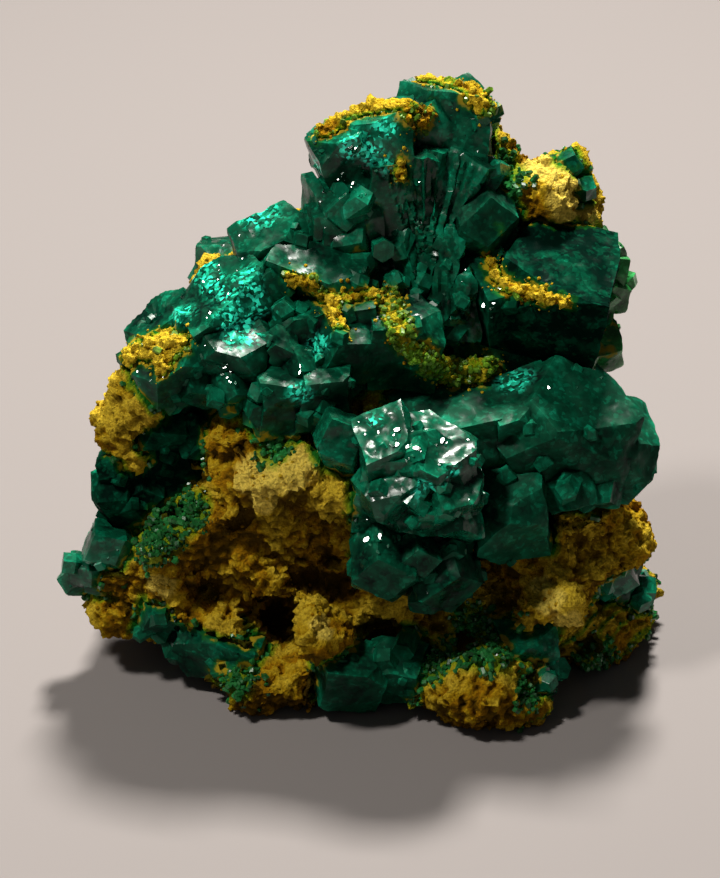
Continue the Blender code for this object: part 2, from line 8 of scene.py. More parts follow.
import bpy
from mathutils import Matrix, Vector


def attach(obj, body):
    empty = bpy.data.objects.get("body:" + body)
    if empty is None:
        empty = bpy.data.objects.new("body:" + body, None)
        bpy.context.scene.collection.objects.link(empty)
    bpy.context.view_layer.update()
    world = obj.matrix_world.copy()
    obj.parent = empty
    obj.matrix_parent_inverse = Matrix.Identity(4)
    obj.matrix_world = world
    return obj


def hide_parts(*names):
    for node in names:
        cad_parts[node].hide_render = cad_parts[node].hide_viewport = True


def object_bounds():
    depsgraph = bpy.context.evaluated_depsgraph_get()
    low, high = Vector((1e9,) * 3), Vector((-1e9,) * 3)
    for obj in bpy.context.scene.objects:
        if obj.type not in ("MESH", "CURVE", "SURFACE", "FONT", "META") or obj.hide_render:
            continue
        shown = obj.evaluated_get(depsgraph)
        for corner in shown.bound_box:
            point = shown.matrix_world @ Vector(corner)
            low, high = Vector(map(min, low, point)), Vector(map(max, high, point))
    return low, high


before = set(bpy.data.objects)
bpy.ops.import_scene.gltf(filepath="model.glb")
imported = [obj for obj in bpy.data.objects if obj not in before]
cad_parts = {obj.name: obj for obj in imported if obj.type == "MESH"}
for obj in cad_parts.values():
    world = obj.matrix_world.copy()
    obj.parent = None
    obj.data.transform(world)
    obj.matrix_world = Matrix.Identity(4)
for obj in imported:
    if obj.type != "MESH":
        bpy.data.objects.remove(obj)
cad_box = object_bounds()
print("solids:", len(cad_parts))

# %% [markdown]
# ## Working as by hand
#
# Blender works in metres, and this specimen is measured in millimetres, so MM turns one into the other.
# Every operator acts on what is selected. The helpers below therefore select one piece before they do
# anything.

# %% Helpers for modelling
import math

import bpy
import numpy as np
from mathutils import Matrix, Vector, noise
from mathutils.bvhtree import BVHTree

MM = 0.001


def select_only(piece):
    bpy.ops.object.select_all(action="DESELECT")
    piece.select_set(True)
    bpy.context.view_layer.objects.active = piece


def apply_modifier(piece, kind, **settings):
    modifier = piece.modifiers.new(kind.lower(), kind)
    for setting, value in settings.items():
        setattr(modifier, setting, value)
    select_only(piece)
    bpy.ops.object.modifier_apply(modifier=modifier.name)


def merged_copy(node, name):
    """A new piece in the shape of one solid. The solid's triangles are loose, so they are merged."""
    piece = bpy.data.objects.new(name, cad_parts[node].data.copy())
    bpy.context.scene.collection.objects.link(piece)
    select_only(piece)
    bpy.ops.object.mode_set(mode="EDIT")
    bpy.ops.mesh.select_all(action="SELECT")
    bpy.ops.mesh.remove_doubles(threshold=0.01 * MM)
    bpy.ops.object.mode_set(mode="OBJECT")
    return piece


def report(piece):
    triangles = sum(len(face.vertices) - 2 for face in piece.data.polygons)
    print(f"{piece.name}: {triangles} triangles")


def points_and_ways(piece):
    """Every vertex's place and outward direction, as two tables with one row for each vertex."""
    tables = []
    for kind in ("co", "normal"):
        table = np.empty(3 * len(piece.data.vertices))
        piece.data.vertices.foreach_get(kind, table)
        tables.append(table.reshape(-1, 3))
    return tables


def put_points(piece, points):
    piece.data.vertices.foreach_set("co", points.ravel())
    piece.data.update()


# %% [markdown]
# ## The camera
#
# The photographer stood in front of the specimen and looked down on it by 30 degrees, with a long lens. The
# camera comes first, because some details are placed where this view shows them.

# %% Camera
PHOTO_WIDE, PHOTO_HIGH = 720, 878
LOOK_DOWN = math.radians(30)
DISTANCE = 450 * MM
SENSOR = 36.0
SEEN_HEIGHT = 130.3 * MM  # how much of the specimen's plane fits in the picture's height
AIM = Vector((-0.6, -0.3, 33.7)) * MM

to_camera = Vector((0.0, -math.cos(LOOK_DOWN), math.sin(LOOK_DOWN)))
camera = bpy.data.objects.new("camera", bpy.data.cameras.new("camera"))
bpy.context.scene.collection.objects.link(camera)
bpy.context.scene.camera = camera
camera.data.sensor_width = SENSOR
camera.data.lens = SENSOR * DISTANCE / SEEN_HEIGHT
camera.location = AIM + to_camera * DISTANCE
camera.rotation_mode = "QUATERNION"
camera.rotation_quaternion = (-to_camera).to_track_quat("-Z", "Y")
print("lens", round(camera.data.lens, 1), "mm")

# %% [markdown]
# ## Where the picture shows a spot
#
# A line from the camera through a spot of the picture meets the specimen in one point. This turns a place
# that is read from the picture into a real place on the surface, which stays there from every side.


# %% From a spot of the picture to the surface
def surface_of(pieces):
    points = []
    faces = []
    for piece in pieces:
        start = len(points)
        points += [vertex.co.copy() for vertex in piece.data.vertices]
        faces += [[start + corner for corner in face.vertices] for face in piece.data.polygons]
    return BVHTree.FromPolygons(points, faces)


solids = surface_of(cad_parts.values())


def spot_on(surface, across, down):
    """The point of a surface that the camera sees at a spot of the 720 by 878 picture."""
    scale = SEEN_HEIGHT / PHOTO_HIGH
    right = Vector((1.0, 0.0, 0.0))
    up = to_camera.cross(right)
    aimed = AIM + right * (across - PHOTO_WIDE / 2) * scale - up * (down - PHOTO_HIGH / 2) * scale
    ray = (aimed - camera.location).normalized()
    return surface.ray_cast(camera.location, ray)[0]


def near_spots(points, surface, spots):
    """1 near the middle of a spot, and 0 a little beyond its reach."""
    share = np.zeros(len(points))
    for across, down, reach in spots:
        middle = spot_on(surface, across, down)
        if middle is not None:
            distance = np.linalg.norm(points - np.array(middle), axis=1)
            share = np.maximum(share, np.clip(1.4 - distance / reach, 0.0, 1.0))
    return share


print("the middle of the picture meets the specimen at", spot_on(solids, 360, 439))

# %% [markdown]
# ## Finishes as node groups
#
# Two effects come back in several materials, so each is a node group. The first makes the skin of a
# crystal: it is a mosaic of tiny flat faces, each tilted a little its own way, which is why real crystals
# sparkle when they are turned; a few of these faces and finer specks are also painted brighter, as painted
# sparkle. The second makes powdery earth: grains of several sizes, with gaps between them that the
# materials darken as painted shade, and scattered pits.


# %% Helpers for nodes
def add(tree, kind, inputs=None, **settings):
    """Adds a node. An input is either a value, or another node's output to link."""
    made = tree.nodes.new(kind)
    for setting, value in settings.items():
        setattr(made, setting, value)
    for key, value in (inputs or {}).items():
        if isinstance(value, bpy.types.NodeSocket):
            tree.links.new(value, made.inputs[key])
        else:
            made.inputs[key].default_value = value
    return made


def new_group(name, inputs, outputs):
    """An empty node group. Inputs are (name, kind, value), and outputs are (name, kind)."""
    tree = bpy.data.node_groups.new(name, "ShaderNodeTree")
    for label, kind, value in inputs:
        tree.interface.new_socket(label, in_out="INPUT", socket_type=kind).default_value = value
    for label, kind in outputs:
        tree.interface.new_socket(label, in_out="OUTPUT", socket_type=kind)
    return tree, tree.nodes.new("NodeGroupInput").outputs, tree.nodes.new("NodeGroupOutput").inputs


def math_node(tree, operation, first, second=0.0, clamp=False):
    made = add(tree, "ShaderNodeMath", {0: first, 1: second}, operation=operation, use_clamp=clamp)
    return made.outputs[0]


def between(tree, value, low, high, low_result=0.0, high_result=1.0):
    """Turns a value from low to high into a result from low_result to high_result."""
    ends = {"From Min": low, "From Max": high, "To Min": low_result, "To Max": high_result}
    return add(tree, "ShaderNodeMapRange", {"Value": value, **ends}).outputs[0]


def vector_node(tree, operation, first, second):
    return add(tree, "ShaderNodeVectorMath", {0: first, 1: second}, operation=operation).outputs[0]


def scaled(tree, vector, amount):
    return add(tree, "ShaderNodeVectorMath", {0: vector, "Scale": amount}, operation="SCALE").outputs[0]


def noise_node(tree, place, scale, detail=2.0, roughness=0.5):
    inputs = {"Vector": place, "Scale": scale, "Detail": detail, "Roughness": roughness}
    return add(tree, "ShaderNodeTexNoise", inputs).outputs


def cells(tree, place, scale):
    return add(tree, "ShaderNodeTexVoronoi", {"Vector": place, "Scale": scale}).outputs


def part_of(tree, colour, channel):
    return add(tree, "ShaderNodeSeparateColor", {"Color": colour}).outputs[channel]


def read_attribute(tree, name):
    return add(tree, "ShaderNodeAttribute", attribute_name=name).outputs["Fac"]


def ramp(tree, factor, stops):
    """A colour ramp. Stops are (place, colour)."""
    made = add(tree, "ShaderNodeValToRGB", {"Fac": factor})
    bands = made.color_ramp.elements
    while len(bands) < len(stops):
        bands.new(0.5)
    for band, (place, colour) in zip(bands, stops):
        band.position = place
        band.color = (*colour, 1.0)
    return made.outputs["Color"]


def mix(tree, factor, first, second):
    made = add(tree, "ShaderNodeMix", data_type="RGBA")
    for socket, value in zip((made.inputs[0], made.inputs[6], made.inputs[7]), (factor, first, second)):
        if isinstance(value, bpy.types.NodeSocket):
            tree.links.new(value, socket)
        else:
            socket.default_value = value
    return made.outputs[2]


# %% Node group for a crystal's skin
def crystal_skin_group():
    tree, given, out = new_group(
        "crystal_skin",
        [("Facet Size", "NodeSocketFloat", 1.2 * MM), ("Tilt", "NodeSocketFloat", 0.1)],
        [
            ("Tone", "NodeSocketFloat"),
            ("Glitter", "NodeSocketFloat"),
            ("Wear", "NodeSocketFloat"),
            ("Normal", "NodeSocketVector"),
        ],
    )
    place = add(tree, "ShaderNodeTexCoord").outputs["Object"]
    scale = math_node(tree, "DIVIDE", 1.0, given["Facet Size"])
    wander = noise_node(tree, place, 420.0, 3.0)["Color"]
    shift = vector_node(tree, "SUBTRACT", wander, (0.5, 0.5, 0.5))
    bent = vector_node(tree, "ADD", place, scaled(tree, shift, 1.6 * MM))
    large = cells(tree, bent, math_node(tree, "DIVIDE", scale, 3.1))["Color"]
    small = cells(tree, bent, scale)["Color"]
    tiny = cells(tree, bent, math_node(tree, "MULTIPLY", scale, 2.7))["Color"]
    tilts = []
    for colour, share in ((small, 1.0), (large, 0.55)):
        tilt = vector_node(tree, "SUBTRACT", colour, (0.5, 0.5, 0.5))
        amount = math_node(tree, "MULTIPLY", given["Tilt"], share)
        tilts.append(scaled(tree, tilt, amount))
    normal = add(tree, "ShaderNodeNewGeometry").outputs["Normal"]
    for tilt in tilts:
        normal = vector_node(tree, "ADD", normal, tilt)
    tilted = add(tree, "ShaderNodeVectorMath", {0: normal}, operation="NORMALIZE").outputs[0]
    tree.links.new(tilted, out["Normal"])

    patches = noise_node(tree, place, 210.0, 4.0, 0.62)["Fac"]
    glitter = part_of(tree, tiny, "Red")
    tree.links.new(glitter, out["Glitter"])
    # Painted sparkle: a few cells of the mosaic and finer specks are painted brighter.
    painted_facet_sparkle = math_node(tree, "POWER", part_of(tree, small, "Red"), 6.0)
    painted_fine_sparkle = math_node(tree, "POWER", glitter, 5.0)
    tone = math_node(tree, "MULTIPLY", painted_facet_sparkle, 0.12)
    for effect, amount in ((painted_fine_sparkle, 0.16), (part_of(tree, large, "Green"), 0.10), (patches, 0.75)):
        tone = math_node(tree, "ADD", tone, math_node(tree, "MULTIPLY", effect, amount))
    tree.links.new(tone, out["Tone"])
    tree.links.new(noise_node(tree, bent, 600.0, 5.0)["Fac"], out["Wear"])
    return tree


crystal_skin = crystal_skin_group()
print("node group", crystal_skin.name)


# %% Node group for powdery earth
def earth_grain_group():
    tree, given, out = new_group(
        "earth_grain",
        [("Grain Size", "NodeSocketFloat", 0.5 * MM)],
        [("Patch", "NodeSocketFloat"), ("Pit", "NodeSocketFloat"), ("Height", "NodeSocketFloat")],
    )
    place = add(tree, "ShaderNodeTexCoord").outputs["Object"]
    scale = math_node(tree, "DIVIDE", 1.0, given["Grain Size"])
    tree.links.new(noise_node(tree, place, 190.0, 5.0, 0.6)["Fac"], out["Patch"])
    round_top = math_node(tree, "SUBTRACT", 1.0, cells(tree, place, scale)["Distance"])
    height = math_node(tree, "MULTIPLY", round_top, 0.5)
    height = math_node(tree, "ADD", height, noise_node(tree, place, scale, 6.0, 0.7)["Fac"])
    tree.links.new(height, out["Height"])
    holes = noise_node(tree, place, 700.0, 3.0, 0.7)["Fac"]
    tree.links.new(between(tree, holes, 0.68, 0.80), out["Pit"])
    return tree


earth_grain = earth_grain_group()
print("node group", earth_grain.name)

# %% [markdown]
# ## The materials
#
# The crystals are so deep a green that they look nearly black in the shade, with brighter green where a
# face catches the light, and a few facets and specks painted brighter as painted sparkle. The ochre is
# matt, and goes from lemon to brown in patches, with painted shade between its grains and in its hollows,
# and dark brown in scattered pits. Where the two meet, the mineral stains the ochre yellow-green. A painted
# picture could show that, but it would have to be painted anew for each piece. Here each piece carries
# values on its vertices instead, called attributes, and the materials read them: stain says how near the
# other mineral is, hollow_shade how deep a point lies, for painted shade and light, pale where the ochre is
# painted palest as painted light, and glow where a crystal is painted bright and glows teal as a
# painted highlight. The groups of crystals differ only in brightness and shine, so one function makes the
# materials for all of them, and another makes the ochres.

# %% Colours
BLACK_GREEN = (0.0006, 0.010, 0.006)
DEEP_GREEN = (0.0015, 0.070, 0.033)
MID_GREEN = (0.004, 0.220, 0.112)
BRIGHT_TEAL = (0.02, 0.66, 0.42)
# Painted light: the colour of the ochre lumps that are painted paler.
PAINTED_LIGHT_OCHRE = (0.97, 0.73, 0.12)
LEMON_OCHRE = (0.72, 0.50, 0.035)
OCHRE = (0.54, 0.335, 0.010)
DUST = (0.34, 0.25, 0.010)
CRUST_LEMON = (0.82, 0.58, 0.035)
CRUST_OCHRE = (0.60, 0.38, 0.009)
LIME_OCHRE = (0.55, 0.45, 0.02)
PALE_LIME = (0.30, 0.38, 0.008)
ORANGE_OCHRE = (0.42, 0.20, 0.004)
SHADE_OCHRE = (0.17, 0.095, 0.004)
SHADE_AND_PIT_BROWN = (0.050, 0.030, 0.003)
LIME = (0.17, 0.34, 0.006)
MOSS = (0.012, 0.14, 0.012)
PAINTED_GLOW_TEAL = (0.03, 0.60, 0.40)
# Painted shade: the hollows of the ochre and of the crystals are darker by this much.
PAINTED_HOLLOW_SHADE = 0.13  # how much the bottom of a hollow takes off a tone
DARKER_TOWARDS_BACK = (13.0 * MM, 25.0 * MM)  # how far back the ochre begins to turn darker, and where it is darkest
print("ochre", OCHRE, "and green", MID_GREEN)


# %% Material of the crystals
def crystal_colour(tree, skin, glow, lift, tint, yellow):
    tone = math_node(tree, "ADD", skin.outputs["Tone"], lift)
    # Painted highlight: the marked glowing patches get bright specks.
    sparkle = math_node(tree, "POWER", skin.outputs["Glitter"], 1.8)
    tone = math_node(tree, "ADD", tone, math_node(tree, "MULTIPLY", glow, sparkle))
    # Painted shade: points deep in a hollow are darker.
    shade = math_node(tree, "MULTIPLY", read_attribute(tree, "hollow_shade"), PAINTED_HOLLOW_SHADE)
    tone = math_node(tree, "SUBTRACT", tone, shade)
    plain = (BLACK_GREEN, DEEP_GREEN, MID_GREEN, BRIGHT_TEAL)
    greens = [(red + green * yellow, green, blue * tint) for red, green, blue in plain]
    return ramp(tree, tone, list(zip((0.22, 0.46, 0.70, 1.0), greens)))


def crystal_material(name, facet, tilt, roughness, lift=0.0, tint=1.0, yellow=0.0, shine=0.30):
    """Deep green crystal. Lift makes it brighter, tint below 1 takes out some blue, and yellow adds red."""
    material = bpy.data.materials.new(name)
    material.use_nodes = True
    tree = material.node_tree
    shader = tree.nodes["Principled BSDF"]
    shader.inputs["IOR"].default_value = 1.6
    shader.inputs["Specular IOR Level"].default_value = shine
    skin = add(tree, "ShaderNodeGroup", node_tree=crystal_skin)
    skin.inputs["Facet Size"].default_value = facet
    skin.inputs["Tilt"].default_value = tilt
    glow = read_attribute(tree, "glow")
    green = crystal_colour(tree, skin, glow, lift, tint, yellow)
    wear = skin.outputs["Wear"]
    edge = math_node(tree, "ADD", read_attribute(tree, "stain"), math_node(tree, "MULTIPLY", wear, 1.6))
    dusty = between(tree, edge, 1.46, 1.66)
    mossy = between(tree, edge, 1.12, 1.46)
    green = mix(tree, math_node(tree, "MULTIPLY", mossy, 0.55), green, (*MOSS, 1.0))
    tree.links.new(mix(tree, dusty, green, (*DUST, 1.0)), shader.inputs["Base Color"])
    rough = between(tree, wear, 0.3, 0.7, roughness * 0.5, roughness * 1.5)
    rough = math_node(tree, "ADD", rough, math_node(tree, "MULTIPLY", dusty, 0.6), clamp=True)
    tree.links.new(rough, shader.inputs["Roughness"])
    tree.links.new(skin.outputs["Normal"], shader.inputs["Normal"])
    # Painted glow: the marked patches give off teal light by emission, though they are no lamp.
    painted_glow_share = math_node(tree, "MULTIPLY", glow, math_node(tree, "POWER", skin.outputs["Glitter"], 3.0))
    painted_glow_colour = mix(tree, painted_glow_share, (0.0, 0.0, 0.0, 1.0), (*PAINTED_GLOW_TEAL, 1.0))
    tree.links.new(painted_glow_colour, shader.inputs["Emission Color"])
    shader.inputs["Emission Strength"].default_value = 0.75
    return material


grown_green = crystal_material("grown_green", 1.3 * MM, 0.11, 0.24, lift=-0.03, shine=0.24)
young_green = crystal_material("young_green", 0.9 * MM, 0.12, 0.28, lift=0.08, tint=0.42, yellow=0.08)
deep_green = crystal_material("deep_green", 1.3 * MM, 0.12, 0.37, lift=-0.12, shine=0.09)
lime_green = crystal_material("lime_green", 0.9 * MM, 0.12, 0.35, lift=0.20, tint=0.10, yellow=0.45)
dull_green = crystal_material("dull_green", 1.5 * MM, 0.09, 0.55, lift=-0.06, shine=0.08)
dark_green = crystal_material("dark_green", 1.5 * MM, 0.03, 0.80, lift=-0.22, shine=0.01)
mirror_green = crystal_material("mirror_green", 2.5 * MM, 0.012, 0.07)
print("crystal materials", len(bpy.data.materials))


# %% Material of the ochre
def earth_colour(tree, place, earth, hollow_shade, base, warm, pale):
    """Brown to lemon by patches, by regions a few centimetres across, darker at the back; painted light and
    shade.
    """
    patch = earth.outputs["Patch"]
    # Painted shade and light: points deep in a hollow are darker, and raised points lighter.
    tone = math_node(tree, "SUBTRACT", patch, math_node(tree, "MULTIPLY", hollow_shade, PAINTED_HOLLOW_SHADE))
    away = math_node(tree, "SUBTRACT", noise_node(tree, place, 55.0)["Fac"], 0.5)
    tone = math_node(tree, "ADD", tone, math_node(tree, "MULTIPLY", away, 0.65))
    depth = add(tree, "ShaderNodeSeparateXYZ", {"Vector": place}).outputs["Y"]
    tone = math_node(tree, "SUBTRACT", tone, between(tree, depth, *DARKER_TOWARDS_BACK, 0.0, 0.07))
    colour = ramp(tree, tone, ((0.30, SHADE_OCHRE), (0.41, warm), (0.49, base), (0.62, pale)))
    # Painted light: the lumps marked pale turn the palest ochre.
    painted_light = math_node(tree, "ADD", read_attribute(tree, "pale"), math_node(tree, "MULTIPLY", patch, 0.9))
    painted_light = between(tree, painted_light, 0.75, 1.05)
    colour = mix(tree, math_node(tree, "MULTIPLY", painted_light, 0.92), colour, (*PAINTED_LIGHT_OCHRE, 1.0))
    # Painted shade: the gaps between the grains are darker.
    painted_grain_shade = between(tree, earth.outputs["Height"], 0.80, 0.52)
    return mix(tree, math_node(tree, "MULTIPLY", painted_grain_shade, 0.6), colour, (*SHADE_OCHRE, 1.0))


def stained(tree, patch, colour):
    """Yellow-green, then moss green, towards the crystals."""
    edge = math_node(tree, "ADD", read_attribute(tree, "stain"), math_node(tree, "MULTIPLY", patch, 0.9))
    limy = between(tree, edge, 0.72, 0.98)
    colour = mix(tree, math_node(tree, "MULTIPLY", limy, 0.75), colour, (*LIME, 1.0))
    return mix(tree, between(tree, edge, 1.02, 1.20), colour, (*MOSS, 1.0))


def earth_material(name, base, warm, pale, grain):
    """Matt, crumbly earth."""
    material = bpy.data.materials.new(name)
    material.use_nodes = True
    tree = material.node_tree
    shader = tree.nodes["Principled BSDF"]
    shader.inputs["Specular IOR Level"].default_value = 0.04
    place = add(tree, "ShaderNodeTexCoord").outputs["Object"]
    earth = add(tree, "ShaderNodeGroup", node_tree=earth_grain)
    earth.inputs["Grain Size"].default_value = grain
    hollow_shade = read_attribute(tree, "hollow_shade")
    colour = earth_colour(tree, place, earth, hollow_shade, base, warm, pale)
    colour = stained(tree, earth.outputs["Patch"], colour)
    # Painted shade: deep hollows turn dark brown, and so do the scattered pits of the grain.
    dark = math_node(tree, "MAXIMUM", between(tree, hollow_shade, 0.15, 0.95), earth.outputs["Pit"])
    colour = mix(tree, math_node(tree, "MULTIPLY", dark, 0.85), colour, (*SHADE_AND_PIT_BROWN, 1.0))
    tree.links.new(colour, shader.inputs["Base Color"])
    tree.links.new(between(tree, earth.outputs["Patch"], 0.3, 0.7, 0.80, 0.98), shader.inputs["Roughness"])
    bump = add(
        tree,
        "ShaderNodeBump",
        {"Height": earth.outputs["Height"], "Strength": 0.9, "Distance": 0.6 * MM},
    ).outputs[0]
    tree.links.new(bump, shader.inputs["Normal"])
    return material


ochre_earth = earth_material("ochre_earth", OCHRE, ORANGE_OCHRE, LEMON_OCHRE, 0.5 * MM)
crust_earth = earth_material("crust_earth", CRUST_OCHRE, ORANGE_OCHRE, CRUST_LEMON, 0.4 * MM)
lime_earth = earth_material("lime_earth", PALE_LIME, LIME, LIME_OCHRE, 0.4 * MM)
print("materials", ochre_earth.name, crust_earth.name, lime_earth.name)

# %% [markdown]
# ## The rock
#
# Broken gossan is lumpy at every size: blocks of some millimetres, crumbs on the blocks, grains on the
# crumbs. A copy of the rock's solid gets a fresh, fine skin by a voxel Remesh. Pits and bulges are pushed
# in and out where the picture shows them, a formula raises flat-sided blocks, and two Displace modifiers
# roughen the skin, the coarser one first. A sculptor's brush would do too, but formulas give the same
# result each time.


# %% Helper for displacement
def displace(piece, kind, spacing, strength, middle=0.5, **texture_settings):
    """Pushes a skin in and out by a texture. Spacing is the size of its lumps."""
    texture = bpy.data.textures.new(f"{piece.name}_{kind.lower()}", kind)
    texture.noise_scale = spacing
    for setting, value in texture_settings.items():
        setattr(texture, setting, value)
    settings = {"strength": strength, "mid_level": middle, "texture_coords": "LOCAL"}
    apply_modifier(piece, "DISPLACE", texture=texture, **settings)


# %% Blocks and hillocks
def wandering(points, spacing):
    """Smooth noise between about -1 and 1 for each point."""
    return np.array([noise.noise(Vector(point) / spacing) for point in points])


def lattice(seed):
    """Three directions at right angles, turned at random: the way a bundle of crystals grew."""
    return np.linalg.qr(np.random.default_rng(seed).normal(size=(3, 3)))[0]


def raise_hillocks(piece, spacing, slope, seed, swell=0.1 * MM):
    """Covers a piece with shallow pyramids about a spacing apart, and lets it swell a little."""
    draw = np.random.default_rng(seed)
    points, ways = points_and_ways(piece)
    count = max(6, int(sum(face.area for face in piece.data.polygons) / spacing**2))
    turned = points @ lattice(seed)
    tops = turned[draw.choice(len(points), count)]
    heights = draw.uniform(0.0, 0.5, count) * spacing * slope
    rise = np.full(len(points), -np.inf)
    for top, height in zip(tops, heights):
        np.maximum(rise, height - slope * np.abs(turned - top).max(axis=1), out=rise)
    rise = np.maximum(rise - rise.mean(), -0.8 * spacing * slope) + swell
    put_points(piece, points + ways * rise[:, None])


# %% Rock
ROCK_SKIN = 0.56 * MM
ROCK_SPOTS = (  # across and down in the picture, the reach, and how far it comes out (below 0: in)
    (272, 630, 6.0 * MM, -9.0 * MM),
    (258, 608, 4.0 * MM, -4.5 * MM),
    (205, 590, 3.6 * MM, -3.5 * MM),
    (305, 588, 3.4 * MM, -3.5 * MM),
    (333, 556, 2.6 * MM, -4.0 * MM),
    (470, 643, 3.0 * MM, -3.5 * MM),
    (385, 635, 4.5 * MM, -3.5 * MM),
    (240, 522, 2.2 * MM, -1.6 * MM),
    (585, 645, 2.2 * MM, -2.0 * MM),
    (310, 640, 4.6 * MM, 2.6 * MM),
    (215, 625, 4.6 * MM, 1.2 * MM),
    (556, 600, 8.5 * MM, 3.4 * MM),
    (206, 262, 4.0 * MM, -4.0 * MM),
    (262, 497, 7.0 * MM, 3.2 * MM),
    (300, 470, 4.5 * MM, 2.2 * MM),
    (556, 205, 5.0 * MM, 2.2 * MM),
    (528, 186, 4.0 * MM, 1.2 * MM),
)


def push_spots(piece, spots):
    """Pushes a skin out or in around places that are read from the picture."""
    surface = surface_of([piece])
    points, _ = points_and_ways(piece)
    for across, down, reach, way_out in spots:
        middle = spot_on(surface, across, down)
        if middle is None:
            print("nothing to push at", across, down)
            continue
        middle = np.array(middle)
        share = np.clip(1.0 - (np.linalg.norm(points - middle, axis=1) / reach) ** 2, 0.0, 1.0)
        points += np.array(to_camera) * (way_out * share**1.5)[:, None]
    put_points(piece, points)


rock = merged_copy("host_rock", "crumbled_rock")
apply_modifier(rock, "REMESH", mode="VOXEL", voxel_size=ROCK_SKIN)
push_spots(rock, ROCK_SPOTS)
raise_hillocks(rock, 8.0 * MM, 0.45, 7, swell=0.0)
raise_hillocks(rock, 3.2 * MM, 0.30, 8, swell=0.0)
displace(rock, "VORONOI", 2.3 * MM, 0.55 * MM, 0.5, weight_1=-1.0, weight_2=1.0, noise_intensity=3.0)
displace(rock, "CLOUDS", 0.95 * MM, 0.80 * MM, 0.5, noise_depth=2, contrast=3.0)
report(rock)

# %% [markdown]
# ## One small crystal
#
# Small crystals of this mineral are short six-sided prisms, closed by three sloping faces. One is modelled
# here at a width of 1, and every small crystal of the specimen is a copy of it. A six-sided cylinder gives
# the prism. Three bisect cuts, each filled, then give the sloping faces, just as a gem cutter grinds them.

# %% A small crystal
SLOPE = math.radians(42)


def lay_aside(piece):
    """Takes a finished pattern out of the scene. Its mesh stays for the copies."""
    mesh = piece.data
    bpy.data.objects.remove(piece)
    return mesh


def small_crystal():
    bpy.ops.object.select_all(action="DESELECT")
    bpy.ops.mesh.primitive_cylinder_add(vertices=6, radius=0.5, depth=1.5, location=(0.0, 0.0, 0.25))
    bpy.ops.object.transform_apply(location=True)
    bpy.ops.object.mode_set(mode="EDIT")
    for third in range(3):
        angle = math.radians(120 * third + 30)
        outward = (math.sin(SLOPE) * math.cos(angle), math.sin(SLOPE) * math.sin(angle), math.cos(SLOPE))
        bpy.ops.mesh.select_all(action="SELECT")
        bpy.ops.mesh.bisect(plane_co=(0.0, 0.0, 0.96), plane_no=outward, use_fill=True, clear_outer=True)
    bpy.ops.object.mode_set(mode="OBJECT")
    return lay_aside(bpy.context.object)


prism = small_crystal()
print("small crystal:", len(prism.polygons), "faces")


# %% Many copies in one mesh
def scatter(shape, name, places, ways, sizes, lean, seed, stretch=(1.0, 1.0)):
    """Joins one copy of a shape for each place into one mesh. Lean is how far they tip over at random."""
    draw = np.random.default_rng(seed)
    corners = np.array([vertex.co for vertex in shape.vertices])
    points = []
    faces = []
    for place, way, size in zip(places, ways, sizes):
        axis = Vector(way) + Vector(draw.normal(size=3)) * lean
        spin = Matrix.Rotation(draw.uniform(0.0, math.tau), 3, "Z")
        turned = np.array(axis.to_track_quat("Z", "Y").to_matrix() @ spin)
        start = len(points) * len(corners)
        longer = np.array((1.0, 1.0, draw.uniform(*stretch)))
        points.append((corners * longer) @ turned.T * size + place)
        faces += [[start + corner for corner in face.vertices] for face in shape.polygons]
    mesh = bpy.data.meshes.new(name)
    mesh.from_pydata(np.concatenate(points), [], faces)
    piece = bpy.data.objects.new(name, mesh)
    bpy.context.scene.collection.objects.link(piece)
    return piece


# %% [markdown]
# ## The crystals
#
# A crystal has flat faces, but a large one is a bundle of smaller ones that grew side by side, nearly
# parallel. Each group starts as its own solid. A Remesh of the sharp kind covers it with a fine grid and
# keeps its edges. Low, flat-sided hillocks are then raised by a formula: every point takes the height of
# the tallest of many shallow pyramids, which all share one direction.

# %% Crystal groups
CRYSTAL_NODES = sorted(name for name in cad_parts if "crystal" in name)
GRID = 0.45 * MM


def sharp_grid(piece):
    """Covers a piece with a fine grid of faces and keeps its edges sharp."""
    longest = max(piece.dimensions)
    depth = math.ceil(math.log2(longest / GRID / 0.98))
    settings = {"octree_depth": depth, "scale": longest / GRID / 2**depth}
    apply_modifier(piece, "REMESH", mode="SHARP", use_remove_disconnected=False, **settings)


def grow(node, seed):
    piece = merged_copy(node, node.replace("_crystals", "_growth").replace("_crystal", "_growth"))
    sharp_grid(piece)
    raise_hillocks(piece, 5.5 * MM, 0.20, seed)
    raise_hillocks(piece, 1.7 * MM, 0.13, seed + 50, swell=0.0)
    return piece


grown = {}
for number, node in enumerate(CRYSTAL_NODES):
    grown[node] = grow(node, number)
print("crystal groups:", len(grown))

# %% [markdown]
# ## Grooves
#
# The columns under the summit spread like a fan from one foot, and their faces are deeply grooved along
# their length. A groove follows a line from the foot, so its depth depends on the angle around the foot
# alone. The broad faces at the left of the shoulder carry finer, straight lines of the same kind.


# %% Grooves of the fan
FAN_FOOT = np.array((8.0, 4.3, 60.0)) * MM
FAN_REACH = (4.0 * MM, 18.0 * MM)
FAN_TURN = (math.radians(-18), math.radians(40))
GROOVES_PER_RADIAN = 15.0
GROOVE_DEPTH = 0.9 * MM


def sharp_waves(phase):
    """Ridges with a steep and a gentle side, from 0 to 1."""
    share = phase % 1.0
    return np.where(share < 0.72, share / 0.72, (1.0 - share) / 0.28)


